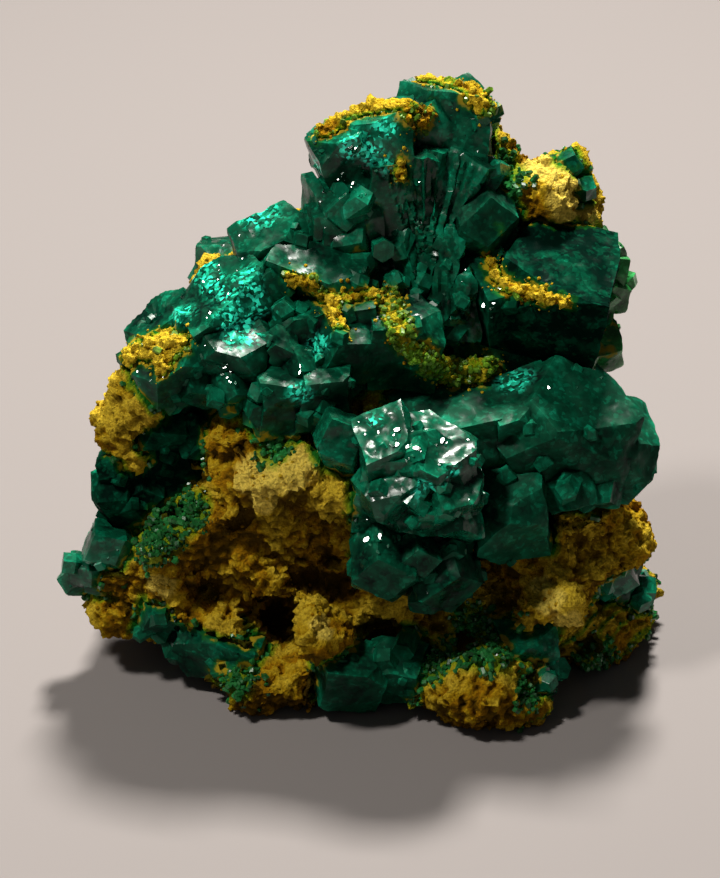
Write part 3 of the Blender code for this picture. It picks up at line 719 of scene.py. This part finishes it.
def groove_fan(piece):
    points, ways = points_and_ways(piece)
    away = points - FAN_FOOT
    turn = np.arctan2(away[:, 0], away[:, 2])
    reach = np.hypot(away[:, 0], away[:, 2])
    in_reach = (reach > FAN_REACH[0]) & (reach < FAN_REACH[1])
    in_turn = (turn > FAN_TURN[0]) & (turn < FAN_TURN[1])
    chosen = in_reach & in_turn & (ways[:, 1] < -0.25)
    phase = turn[chosen] * GROOVES_PER_RADIAN + 0.5 * wandering(points[chosen], 7.0 * MM)
    depth = GROOVE_DEPTH * (0.6 + 0.5 * wandering(points[chosen] + 1.0, 3.5 * MM))
    rise = (sharp_waves(phase) - 0.6) * depth
    points[chosen] += ways[chosen] * rise[:, None]
    put_points(piece, points)


groove_fan(grown["summit_crystals"])
print("fan grooved")


# %% Straight grooves
def groove_straight(piece, middle, reach, across, spacing, depth):
    """Cuts straight, fine grooves around a middle. Across is the direction from one groove to the next."""
    points, ways = points_and_ways(piece)
    distance = np.linalg.norm(points - np.array(middle), axis=1)
    fade = np.clip(1.5 - 1.5 * distance / reach, 0.0, 1.0)
    near = fade > 0.0
    along = points[near] @ np.array(Vector(across).normalized())
    phase = along / spacing + wandering(points[near], 5.0 * MM)
    rise = (sharp_waves(phase) - 0.5) * depth * fade[near]
    points[near] += ways[near] * rise[:, None]
    put_points(piece, points)


dome = grown["left_dome_crystals"]
blades = grown["vug_crystals"]
groove_straight(dome, spot_on(solids, 150, 308), 7.0 * MM, (0.8, 0.0, 0.6), 0.8 * MM, 0.18 * MM)
groove_straight(dome, spot_on(solids, 262, 222), 6.0 * MM, (0.5, 0.3, -0.8), 1.0 * MM, 0.30 * MM)
groove_straight(blades, spot_on(solids, 430, 290), 16.0 * MM, (1.0, 0.0, 0.2), 1.5 * MM, 0.5 * MM)

# %% [markdown]
# ## Young crystals in the joints
#
# Where two large crystals meet, and on their sides, younger ones sprouted. They are copies of the small
# crystal, sunk a little over halfway in, and joined to their group. A place lies in a joint when a point a
# little in front of it is nearer to some other face than to its own.

# %% Young crystals that sprout from a group
FREE_SPACE = 4.5 * MM  # how much a young crystal needs in front of it
FEELER = 2.6 * MM
SPROUTS_PER_AREA = 0.16  # places tried to the square millimetre
KEPT_IN_JOINTS = 0.5
KEPT_ON_FACES = 0.06
YOUNG_WIDTHS = (1.4 * MM, 2.2 * MM, 3.8 * MM)  # the least, the most on a face, and the most in a joint
SUNK = 0.42  # how far a young crystal is pushed into its group, as a share of its width
FEWER = {  # groups with fewer young crystals than the others
    "right_block_crystal": 0.12,
    "upper_right_knob_crystal": 0.05,
    "front_right_crystals": 0.3,
    "summit_crystals": 0.45,
    "shoulder_knob_crystals": 0.6,
    "top_right_crystals": 0.4,
    "left_foot_crystals": 0.4,
    "right_edge_crystals": 0.5,
}
BARE = [(spot_on(solids, 445, 175), 7.5 * MM), (spot_on(solids, 425, 215), 5.0 * MM)]  # the fan stays clear


def surface_samples(piece, count, seed):
    """Points spread evenly over a mesh's faces, with the faces' directions."""
    draw = np.random.default_rng(seed)
    faces = piece.data.polygons
    areas = np.array([face.area for face in faces])
    places = []
    ways = []
    for index in draw.choice(len(faces), count, p=areas / areas.sum()):
        corners = np.array([piece.data.vertices[corner].co for corner in faces[index].vertices])
        places.append(draw.dirichlet(np.ones(len(corners))) @ corners)
        ways.append(np.array(faces[index].normal))
    return places, ways


def sprout_places(node, seed):
    """Places for young crystals: half of the joints that are tried, and few of the open faces."""
    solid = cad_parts[node]
    area = sum(face.area for face in solid.data.polygons) / MM**2
    draw = np.random.default_rng(seed)
    kept = []
    for place, way in zip(*surface_samples(solid, int(area * SPROUTS_PER_AREA), seed)):
        ahead = Vector(place) + Vector(way) * FEELER
        in_joint = solids.find_nearest(ahead)[3] < 0.75 * FEELER
        share = KEPT_IN_JOINTS if in_joint else KEPT_ON_FACES
        if draw.random() > share * FEWER.get(node, 1.0):
            continue
        if any((Vector(place) - middle).length < reach for middle, reach in BARE):
            continue
        start = Vector(place) + Vector(way) * 0.4 * MM
        if solids.ray_cast(start, Vector(way), FREE_SPACE)[0] is None:
            widest = YOUNG_WIDTHS[2] if in_joint else YOUNG_WIDTHS[1]
            kept.append((place, way, draw.uniform(YOUNG_WIDTHS[0], widest)))
    return kept


def sprout(node, piece, seed):
    """Joins young crystals into a group."""
    kept = sprout_places(node, seed)
    if not kept:
        return
    places = [place - way * size * SUNK for place, way, size in kept]
    ways = [way for _, way, _ in kept]
    sizes = [size for _, _, size in kept]
    young = scatter(prism, "young", places, ways, sizes, 0.38, seed, stretch=(0.85, 1.15))
    select_only(piece)
    young.select_set(True)
    bpy.ops.object.join()


for number, (node, piece) in enumerate(grown.items()):
    sprout(node, piece, number)
    report(piece)

# %% [markdown]
# ## The crusts
#
# The ochre crusts are powder that settled and set in strips. Each gets a fresh skin and two Displace
# modifiers, as the rock does, on a finer scale. At one spot an edge of the crystals is bare in the picture,
# so the crust is sunk there.

# %% Crusts
CRUST_NODES = [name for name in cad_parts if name.endswith("crust")]
CRUST_SKIN = 0.3 * MM
SUNKEN_CRUST_SPOTS = {"summit_left_crust": ((313, 134, 3.4 * MM, -3.0 * MM),)}

crusts = {}
for node in sorted(CRUST_NODES):
    piece = merged_copy(node, node.replace("_crust", "_powder"))
    apply_modifier(piece, "REMESH", mode="VOXEL", voxel_size=CRUST_SKIN)
    if node in SUNKEN_CRUST_SPOTS:
        push_spots(piece, SUNKEN_CRUST_SPOTS[node])
    displace(piece, "VORONOI", 1.8 * MM, 0.8 * MM, 0.34, weight_1=-1.0, weight_2=1.0, noise_intensity=3.0)
    displace(piece, "CLOUDS", 0.7 * MM, 0.45 * MM, 0.4, noise_depth=1, contrast=3.0)
    crusts[node] = piece
    report(piece)

# %% [markdown]
# ## Painted shade in hollows, painted light on raised parts
#
# Hollows are painted darker, as painted shade, and raised edges lighter, as painted light. How deep a point
# lies is measured by ironing the mesh flat in thought: each vertex is moved to the middle of its neighbours
# many times over, and the way it has moved along its outward direction is its depth. The materials read it
# from the attribute called hollow_shade. On the rock, the faces that look up count as raised and are
# painted lighter, and the faces that look down are painted darker, as painted light from above. Some lumps
# of the ochre are painted paler still, as painted light, and an attribute called pale marks them; their
# places are read from the picture.


# %% Hollow attribute
def write_attribute(piece, name, values):
    attribute = piece.data.attributes.new(name, "FLOAT", "POINT")
    attribute.data.foreach_set("value", values.astype(np.float32))


def hollowness(piece, rounds, full_depth):
    """How deep each point lies below its surroundings: 1 at the full depth, and -1 for an edge as high."""
    points, ways = points_and_ways(piece)
    ends = np.empty(2 * len(piece.data.edges), dtype=np.int64)
    piece.data.edges.foreach_get("vertices", ends)
    first, second = ends.reshape(-1, 2).T
    neighbours = np.maximum(np.bincount(ends, minlength=len(points)), 1)
    ironed = points.copy()
    for _ in range(rounds):
        sums = []
        for axis in range(3):
            one_way = np.bincount(first, ironed[second, axis], len(points))
            other_way = np.bincount(second, ironed[first, axis], len(points))
            sums.append(one_way + other_way)
        ironed = np.stack(sums, axis=1) / neighbours[:, None]
    return np.clip(((ironed - points) * ways).sum(axis=1) / full_depth, -1.0, 1.0)


# Painted light: the ochre around these spots is painted paler.
PAINTED_LIGHT_SPOTS = (  # across and down in the picture, and the reach on the specimen
    (250, 475, 4.0 * MM),
    (290, 468, 4.0 * MM),
    (262, 500, 3.0 * MM),
    (322, 628, 2.2 * MM),
    (160, 585, 2.5 * MM),
    (150, 560, 2.0 * MM),
    (280, 710, 1.5 * MM),
    (545, 160, 4.5 * MM),
    (530, 150, 4.0 * MM),
    (570, 198, 4.5 * MM),
    (590, 215, 3.0 * MM),
    (550, 600, 2.6 * MM),
    (566, 622, 2.4 * MM),
    (540, 585, 1.8 * MM),
)
ROCK_HOLLOW = 0.9 * MM  # how deep a full hollow is
CRUST_HOLLOW = 0.4 * MM
CRYSTAL_HOLLOW = 0.5 * MM

rock_surface = surface_of([rock])
points, ways = points_and_ways(rock)
# Painted light: the attribute pale marks the lumps that are painted paler.
pale = near_spots(points, rock_surface, PAINTED_LIGHT_SPOTS)
write_attribute(rock, "pale", pale)
# Painted shade and light: deep points and faces that look down are darker; edges, faces that look up and
# the pale lumps are lighter.
painted_shade_and_light = hollowness(rock, 14, ROCK_HOLLOW) + 0.5 - 0.9 * ways[:, 2] - 0.4 * pale
write_attribute(rock, "hollow_shade", np.clip(painted_shade_and_light, -1.0, 1.0))
for piece in crusts.values():
    write_attribute(piece, "hollow_shade", hollowness(piece, 8, CRUST_HOLLOW))
for piece in grown.values():
    write_attribute(piece, "hollow_shade", hollowness(piece, 8, CRYSTAL_HOLLOW))
print("hollows measured")

# %% [markdown]
# ## Beds of druse
#
# In some places the rock is so thickly set with tiny crystals that it looks green. These beds are read from
# the picture. The rock is stained under them now, and the tiny crystals themselves come later.

# %% Beds
DRUSE_BEDS = (  # across and down in the picture, and the reach on the specimen
    (165, 525, 4.5 * MM),
    (190, 508, 3.0 * MM),
    (145, 545, 3.0 * MM),
    (205, 640, 4.0 * MM),
    (235, 680, 3.5 * MM),
    (170, 625, 3.0 * MM),
    (275, 450, 3.0 * MM),
    (330, 455, 2.5 * MM),
    (500, 165, 3.5 * MM),
    (485, 130, 3.5 * MM),
    (565, 148, 1.5 * MM),
    (512, 180, 2.5 * MM),
    (600, 240, 3.0 * MM),
    (605, 355, 4.0 * MM),
    (603, 340, 2.5 * MM),
    (615, 585, 3.5 * MM),
    (645, 600, 3.5 * MM),
    (655, 640, 3.0 * MM),
    (600, 660, 3.5 * MM),
    (560, 680, 3.5 * MM),
    (530, 690, 3.0 * MM),
    (440, 660, 4.0 * MM),
    (490, 650, 4.0 * MM),
    (400, 690, 3.0 * MM),
    (470, 620, 3.0 * MM),
)


def bed_weights(points):
    """How much each point lies in a bed of druse."""
    weight = np.zeros(len(points))
    for across, down, reach in DRUSE_BEDS:
        middle = spot_on(rock_surface, across, down)
        if middle is not None:
            distance = np.linalg.norm(points - np.array(middle), axis=1)
            weight += np.exp(-((distance / reach) ** 2))
    return weight


print("beds of druse:", len(DRUSE_BEDS))

# %% [markdown]
# ## Stain
#
# Near a crystal the ochre is stained green, and near the ochre a crystal is dusted with it. For each
# vertex, the distance to the other mineral is measured once and kept in the attribute that the materials
# read.


# %% Stain attributes
def nearness(points, surface, reach):
    """1 where a point touches the surface, 0 where it is further away than the reach."""
    near = np.zeros(len(points))
    for i, point in enumerate(points):
        distance = surface.find_nearest(point, reach)[3]
        if distance is not None:
            near[i] = 1.0 - distance / reach
    return near


BAND_SPACING = 2.4 * MM
BANDED_FROM = Vector((20.0, 0.0, 16.0)) * MM  # the bands lie to the right of this place and below it


def bands(points):
    """Layers of green and ochre in the rock at the lower right, which rise to the right."""
    phase = (0.63 * points[:, 0] - 0.77 * (points[:, 2] + 0.58 * points[:, 1])) / BAND_SPACING
    wave = 0.5 + 0.5 * np.sin(math.tau * (phase + 0.7 * wandering(points, 6.0 * MM)))
    right = np.clip((points[:, 0] - BANDED_FROM.x) / (4.0 * MM), 0.0, 1.0)
    low = np.clip((BANDED_FROM.z - points[:, 2]) / (4.0 * MM), 0.0, 1.0)
    return wave**2 * right * low * 0.66


DUSTED_SPOTS = (  # across and down in the picture, and the reach on the specimen
    (603, 352, 3.2 * MM),
    (610, 325, 2.2 * MM),
    (232, 410, 2.2 * MM),
    (222, 424, 2.2 * MM),
    (246, 424, 2.2 * MM),
    (262, 436, 2.0 * MM),
    (358, 252, 1.6 * MM),
    (378, 276, 1.6 * MM),
    (500, 228, 1.4 * MM),
)
STAIN_ON_ROCK = 1.9 * MM  # how far a crystal stains the rock around it
STAIN_ON_CRUST = 1.0 * MM
DUST_ON_CRYSTAL = 1.7 * MM  # how far dust of the ochre lies on a crystal
MOST_IN_BED = 0.62  # the most that a bed of druse stains the rock

crystal_surface = surface_of(grown.values())
ochre_surface = surface_of([rock, *crusts.values()])
stains = {}
for piece in [rock, *crusts.values()]:
    reach = STAIN_ON_ROCK if piece == rock else STAIN_ON_CRUST
    points = points_and_ways(piece)[0]
    stains[piece.name] = nearness(points, crystal_surface, reach)
    if piece == rock:
        green = np.maximum(np.clip(bed_weights(points), 0.0, MOST_IN_BED), bands(points))
        stains[piece.name] = np.maximum(stains[piece.name], green)
    write_attribute(piece, "stain", stains[piece.name])
for piece in grown.values():
    points = points_and_ways(piece)[0]
    dusted = near_spots(points, crystal_surface, DUSTED_SPOTS)
    stains[piece.name] = np.maximum(nearness(points, ochre_surface, DUST_ON_CRYSTAL), dusted * 0.75)
    write_attribute(piece, "stain", stains[piece.name])
print("stained", len(stains), "pieces")

# %% [markdown]
# ## The painted glow
#
# On the shoulder a patch of the crystals is painted brighter and glows teal by emission, as a painted
# highlight, and so are a few smaller spots. It is marked by an attribute called glow, which fades
# out around spots that are read from the picture.

# %% Painted glow attribute
PAINTED_GLOW_SPOTS = (  # across and down in the picture, and the reach on the specimen
    (203, 272, 2.0 * MM),
    (213, 284, 1.9 * MM),
    (224, 294, 2.2 * MM),
    (233, 304, 1.9 * MM),
    (245, 276, 2.0 * MM),
    (250, 288, 1.8 * MM),
    (256, 305, 2.0 * MM),
    (240, 336, 2.3 * MM),
    (228, 318, 1.7 * MM),
    (245, 322, 1.6 * MM),
    (182, 312, 2.0 * MM),
    (264, 216, 2.2 * MM),
    (250, 218, 1.6 * MM),
    (320, 345, 1.6 * MM),
    (300, 392, 1.6 * MM),
    (424, 484, 1.0 * MM),
    (452, 470, 1.1 * MM),
    (375, 420, 1.0 * MM),
    (352, 148, 1.8 * MM),
    (372, 150, 1.8 * MM),
    (384, 162, 1.4 * MM),
    (384, 128, 1.6 * MM),
    (318, 165, 1.4 * MM),
    (515, 380, 2.4 * MM),
)
for piece in grown.values():
    write_attribute(piece, "glow", near_spots(points_and_ways(piece)[0], crystal_surface, PAINTED_GLOW_SPOTS))
print("glow spots", len(PAINTED_GLOW_SPOTS))

# %% [markdown]
# ## Handing the pieces over
#
# Each new piece rides on the specimen's one body and gets its material, and where it was made from a solid,
# that solid is hidden. Its faces are smoothed except where they meet at a sharp edge.


# %% Pieces in place of their solids
def keep_above_shelf(piece):
    points, _ = points_and_ways(piece)
    points[:, 2] = np.maximum(points[:, 2], cad_box[0].z)
    put_points(piece, points)


def finish_piece(piece, material, nodes=(), angle=30):
    keep_above_shelf(piece)
    piece.data.materials.clear()
    piece.data.materials.append(material)
    select_only(piece)
    bpy.ops.object.shade_smooth_by_angle(angle=math.radians(angle))
    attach(piece, "root")
    if nodes:
        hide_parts(*nodes)


OTHER_GREENS = {  # the groups that are darker, duller or brighter than most
    "right_block_crystal": dark_green,
    "front_right_crystals": dull_green,
    "upper_right_knob_crystal": dull_green,
    # Painted shade: the left wall's crystals stand in a recess and get the darkest green as painted shade.
    "left_wall_crystals": dark_green,
    "left_dome_crystals": deep_green,
    "centre_crystals": deep_green,
    "lower_front_crystals": deep_green,
    "base_left_crystals": deep_green,
    "base_front_crystals": dull_green,
    "right_rim_crystals": young_green,
}

finish_piece(rock, ochre_earth, ["host_rock"], angle=60)
for node, piece in grown.items():
    finish_piece(piece, OTHER_GREENS.get(node, grown_green), [node])
for node, piece in crusts.items():
    if node == "vug_crust":
        finish_piece(piece, lime_earth, [node], angle=60)
    else:
        finish_piece(piece, crust_earth, [node], angle=60)
print("pieces handed over:", 1 + len(grown) + len(crusts))

# %% [markdown]
# ## Druse
#
# Where ochre and green meet, thousands of tiny crystals stand side by side: a druse. They are copies of the
# small crystal, on points of the rock that are drawn at random, more often the nearer they lie to a large
# crystal, or to a spot where the picture shows a bed of druse.

# %% Places for small things
def in_the_open(points, ways, surface):
    """Tells for each point whether nothing of the specimen stands close in front of it."""
    free = np.zeros(len(points), dtype=bool)
    for i, (point, way) in enumerate(zip(points, ways)):
        start = Vector(point) + Vector(way) * 0.3 * MM
        free[i] = surface.ray_cast(start, Vector(way), 2.5 * MM)[0] is None
    return free


def draw_places(piece, weights, count, seed, surface):
    """Draws vertices of a piece by weight, and keeps those in the open."""
    points, ways = points_and_ways(piece)
    share = weights / weights.sum()
    chosen = np.random.default_rng(seed).choice(len(points), count, replace=False, p=share)
    free = in_the_open(points[chosen], ways[chosen], surface)
    return points[chosen][free], ways[chosen][free]


# %% Druse on the rock
everything = surface_of([rock, *grown.values(), *crusts.values()])
DRUSE_COUNT = 6800


def sizes_between(low, high, count, seed):
    """Sizes drawn so that small ones are more common."""
    return low + (high - low) * np.random.default_rng(seed).random(count) ** 2


stain = stains[rock.name]
fringe = np.where((stain > 0.3) & (stain < 0.97), stain, 0.0) ** 3
weights = fringe * 0.35 + bed_weights(points_and_ways(rock)[0]) ** 2
places, ways = draw_places(rock, weights, DRUSE_COUNT, 71, everything)
widths = sizes_between(0.4, 1.1, len(places), 72) * MM
druse = scatter(prism, "druse", places, ways, widths, 0.5, 73)
finish_piece(druse, young_green)
report(druse)

# %% Druse along the crusts
CRUST_DRUSE_COUNT = 1500

shares = {node: 1.0 if node == "vug_crust" else 0.25 for node in crusts}
all_vertices = sum(len(piece.data.vertices) for piece in crusts.values())
beds = []
for number, (node, piece) in enumerate(crusts.items()):
    count = int(CRUST_DRUSE_COUNT * shares[node] * len(piece.data.vertices) / all_vertices * 1.8)
    weights = stains[piece.name] ** 2 + (0.3 if node == "vug_crust" else 0.02)
    beds.append(draw_places(piece, weights, count, 75 + number, everything))
places = np.concatenate([found[0] for found in beds])
ways = np.concatenate([found[1] for found in beds])
widths = sizes_between(0.35, 1.0, len(places), 74) * MM
fringe_druse = scatter(prism, "crust_druse", places, ways, widths, 0.5, 79)
finish_piece(fringe_druse, lime_green)
report(fringe_druse)

# %% [markdown]
# ## Crumbs
#
# Ochre earth breaks into crumbs, and loose ones lie on the crystals around each crust. A crumb starts as a
# coarse ball, and a random shove of its corners makes it a crumb.


# %% A crumb
def crumb():
    bpy.ops.object.select_all(action="DESELECT")
    bpy.ops.mesh.primitive_ico_sphere_add(subdivisions=1, radius=0.5)
    bpy.ops.object.mode_set(mode="EDIT")
    bpy.ops.mesh.select_all(action="SELECT")
    bpy.ops.transform.vertex_random(offset=0.16, seed=4)
    bpy.ops.object.mode_set(mode="OBJECT")
    return lay_aside(bpy.context.object)


crumb_shape = crumb()
print("crumb:", len(crumb_shape.polygons), "faces")

# %% Crumbs on the rock and around the crusts
CRUMBS_ON_ROCK = 3600
CRUMBS_PER_POINT = 0.22  # on the crystals, close to a crust
CRUMB_REACH = 2.4 * MM  # how far crumbs lie around a crust

points, ways = points_and_ways(rock)
weights = (0.3 + np.clip(ways[:, 2], 0.0, 1.0)) * (stains[rock.name] < 0.6)
places, ways = draw_places(rock, weights, CRUMBS_ON_ROCK, 81, everything)
widths = sizes_between(0.25, 0.8, len(places), 82) * MM
crumbs = scatter(crumb_shape, "rock_crumbs", places, ways, widths, 0.8, 83)
finish_piece(crumbs, ochre_earth, angle=60)
report(crumbs)

crust_surface = surface_of(crusts.values())
near_crust = []
for node in grown:
    points, ways = points_and_ways(grown[node])
    near = nearness(points, crust_surface, CRUMB_REACH) ** 2
    chosen = np.random.default_rng(84).random(len(points)) < near * CRUMBS_PER_POINT
    near_crust.append((points[chosen], ways[chosen]))
places = np.concatenate([found[0] for found in near_crust])
ways = np.concatenate([found[1] for found in near_crust])
widths = sizes_between(0.2, 0.8, len(places), 85) * MM
dust = scatter(crumb_shape, "crust_crumbs", places, ways, widths, 0.8, 86)
finish_piece(dust, crust_earth, angle=60)
report(dust)

# %% [markdown]
# ## Glints
#
# Some small faces of the specimen are turned so that they mirror a lamp towards the viewer. The bright ones
# are read from the picture, and smaller ones are drawn at random. They all face one way, because the
# crystals of a group share one direction. Each is the flat top of a low crystal, and its direction lies
# halfway between the camera and the lamp.


# %% A flat-topped crystal
def tablet():
    bpy.ops.object.select_all(action="DESELECT")
    bpy.ops.mesh.primitive_cylinder_add(vertices=6, radius=0.5, depth=0.7, location=(0.0, 0.0, -0.2))
    bpy.ops.object.transform_apply(location=True)
    bpy.ops.object.mode_set(mode="EDIT")
    bpy.ops.mesh.select_all(action="SELECT")
    bpy.ops.mesh.bevel(offset=0.07, segments=1)
    bpy.ops.transform.resize(value=(1.0, 0.62, 1.0))
    bpy.ops.object.mode_set(mode="OBJECT")
    return lay_aside(bpy.context.object)


tablet_shape = tablet()
print("flat-topped crystal:", len(tablet_shape.polygons), "faces")

# %% Glints in their places
SPARK_WAY = Vector((-0.50, -0.28, 1.0)).normalized()
GLINT_SPOTS = (  # across and down in the picture, and the width on the specimen
    (314, 136, 2.0 * MM),
    (319, 148, 1.4 * MM),
    (319, 156, 0.9 * MM),
    (349, 146, 1.4 * MM),
    (354, 154, 1.7 * MM),
    (368, 167, 1.5 * MM),
    (342, 177, 1.1 * MM),
    (352, 188, 1.1 * MM),
    (361, 196, 0.9 * MM),
    (221, 363, 1.2 * MM),
    (226, 370, 1.3 * MM),
    (231, 379, 1.1 * MM),
    (214, 264, 0.8 * MM),
    (404, 450, 1.8 * MM),
    (413, 450, 1.6 * MM),
    (439, 444, 1.5 * MM),
    (400, 436, 1.6 * MM),
    (360, 525, 1.9 * MM),
    (374, 541, 1.8 * MM),
    (384, 537, 1.8 * MM),
    (390, 540, 1.4 * MM),
    (491, 309, 1.5 * MM),
    (470, 626, 0.8 * MM),
    (452, 105, 0.6 * MM),
    (397, 311, 0.8 * MM),
    (300, 368, 0.8 * MM),
)
CLUSTER = (0.75, 0.55, 0.5, 0.4, 0.3)  # the widths of a glint's five faces, as shares of the whole
SMALL_GLINTS = {  # how many more, in places drawn at random
    "left_dome_crystals": 45,
    "front_stack_crystals": 20,
    "summit_crystals": 25,
    "vug_crystals": 12,
    "left_foot_crystals": 8,
    "base_left_crystals": 10,
    "lower_front_crystals": 8,
    "front_right_crystals": 10,
    "right_rim_crystals": 6,
}
PIXEL = SEEN_HEIGHT / PHOTO_HIGH

halfway = (SPARK_WAY + to_camera).normalized()
draw = np.random.default_rng(91)
places = []
widths = []
for across, down, width in GLINT_SPOTS:
    for share in CLUSTER:
        aside = draw.normal(size=2) * 0.45 * width / PIXEL
        place = spot_on(crystal_surface, across + aside[0], down + aside[1])
        if place is not None:
            places.append(np.array(place))
            widths.append(width * share)
for number, (node, count) in enumerate(SMALL_GLINTS.items()):
    facing = np.clip(points_and_ways(grown[node])[1] @ np.array(halfway) - 0.6, 0.0, 1.0)
    found, _ = draw_places(grown[node], facing, count, 93 + number, everything)
    places += list(found)
    widths += list(sizes_between(0.3, 0.7, len(found), 120 + number) * MM)
glints = scatter(tablet_shape, "glinting_faces", places, [halfway] * len(places), widths, 0.03, 92)
finish_piece(glints, mirror_green)
report(glints)

# %% [markdown]
# ## Floor and light
#
# The specimen stands on a plain pale floor. The main light comes from above and behind, a little from the
# right, as in the picture, so its shadow falls towards the viewer. A small lamp at the upper left makes the
# glints and lights the ochre ridge, and a large soft light in front opens the shade.


# %% Floor and lights
FLOOR_COLOUR = (0.25, 0.227, 0.220, 1.0)
WARM_WHITE = (1.0, 0.96, 0.90)
WHITE = (1.0, 1.0, 1.0)
ROOM_COLOUR = (0.60, 0.60, 0.62, 1.0)
ROOM_LIGHT = 0.06


def floor_material():
    material = bpy.data.materials.new("pale_floor")
    material.use_nodes = True
    shader = material.node_tree.nodes["Principled BSDF"]
    shader.inputs["Base Color"].default_value = FLOOR_COLOUR
    shader.inputs["Roughness"].default_value = 0.85
    return material


bpy.ops.object.select_all(action="DESELECT")
bpy.ops.mesh.primitive_plane_add(size=6.0, location=(0.0, 0.0, cad_box[0].z))
floor = bpy.context.object
floor.name = "floor"
floor.data.materials.append(floor_material())


def soft_light(name, way, distance, size, power, colour=WHITE):
    """A square lamp that stands a distance away and points at the specimen's middle. Power is in watts."""
    light = bpy.data.lights.new(name, "AREA")
    light.size = size
    light.energy = power
    light.color = colour
    lamp = bpy.data.objects.new(name, light)
    lamp.location = AIM + Vector(way).normalized() * distance
    lamp.rotation_mode = "QUATERNION"
    lamp.rotation_quaternion = (-Vector(way)).to_track_quat("-Z", "Y")
    bpy.context.scene.collection.objects.link(lamp)


soft_light("key", (0.10, 0.50, 1.0), distance=0.7, size=0.11, power=10.0, colour=WARM_WHITE)
soft_light("spark", SPARK_WAY, distance=0.6, size=0.07, power=2.4, colour=WARM_WHITE)
soft_light("front", (-0.5, -1.0, 0.8), distance=0.9, size=0.8, power=0.14)
world = bpy.data.worlds.new("studio")
bpy.context.scene.world = world
world.use_nodes = True
world.node_tree.nodes["Background"].inputs["Color"].default_value = ROOM_COLOUR
world.node_tree.nodes["Background"].inputs["Strength"].default_value = ROOM_LIGHT
bpy.context.scene.view_settings.view_transform = "Standard"
print("lights:", len(bpy.data.lights))
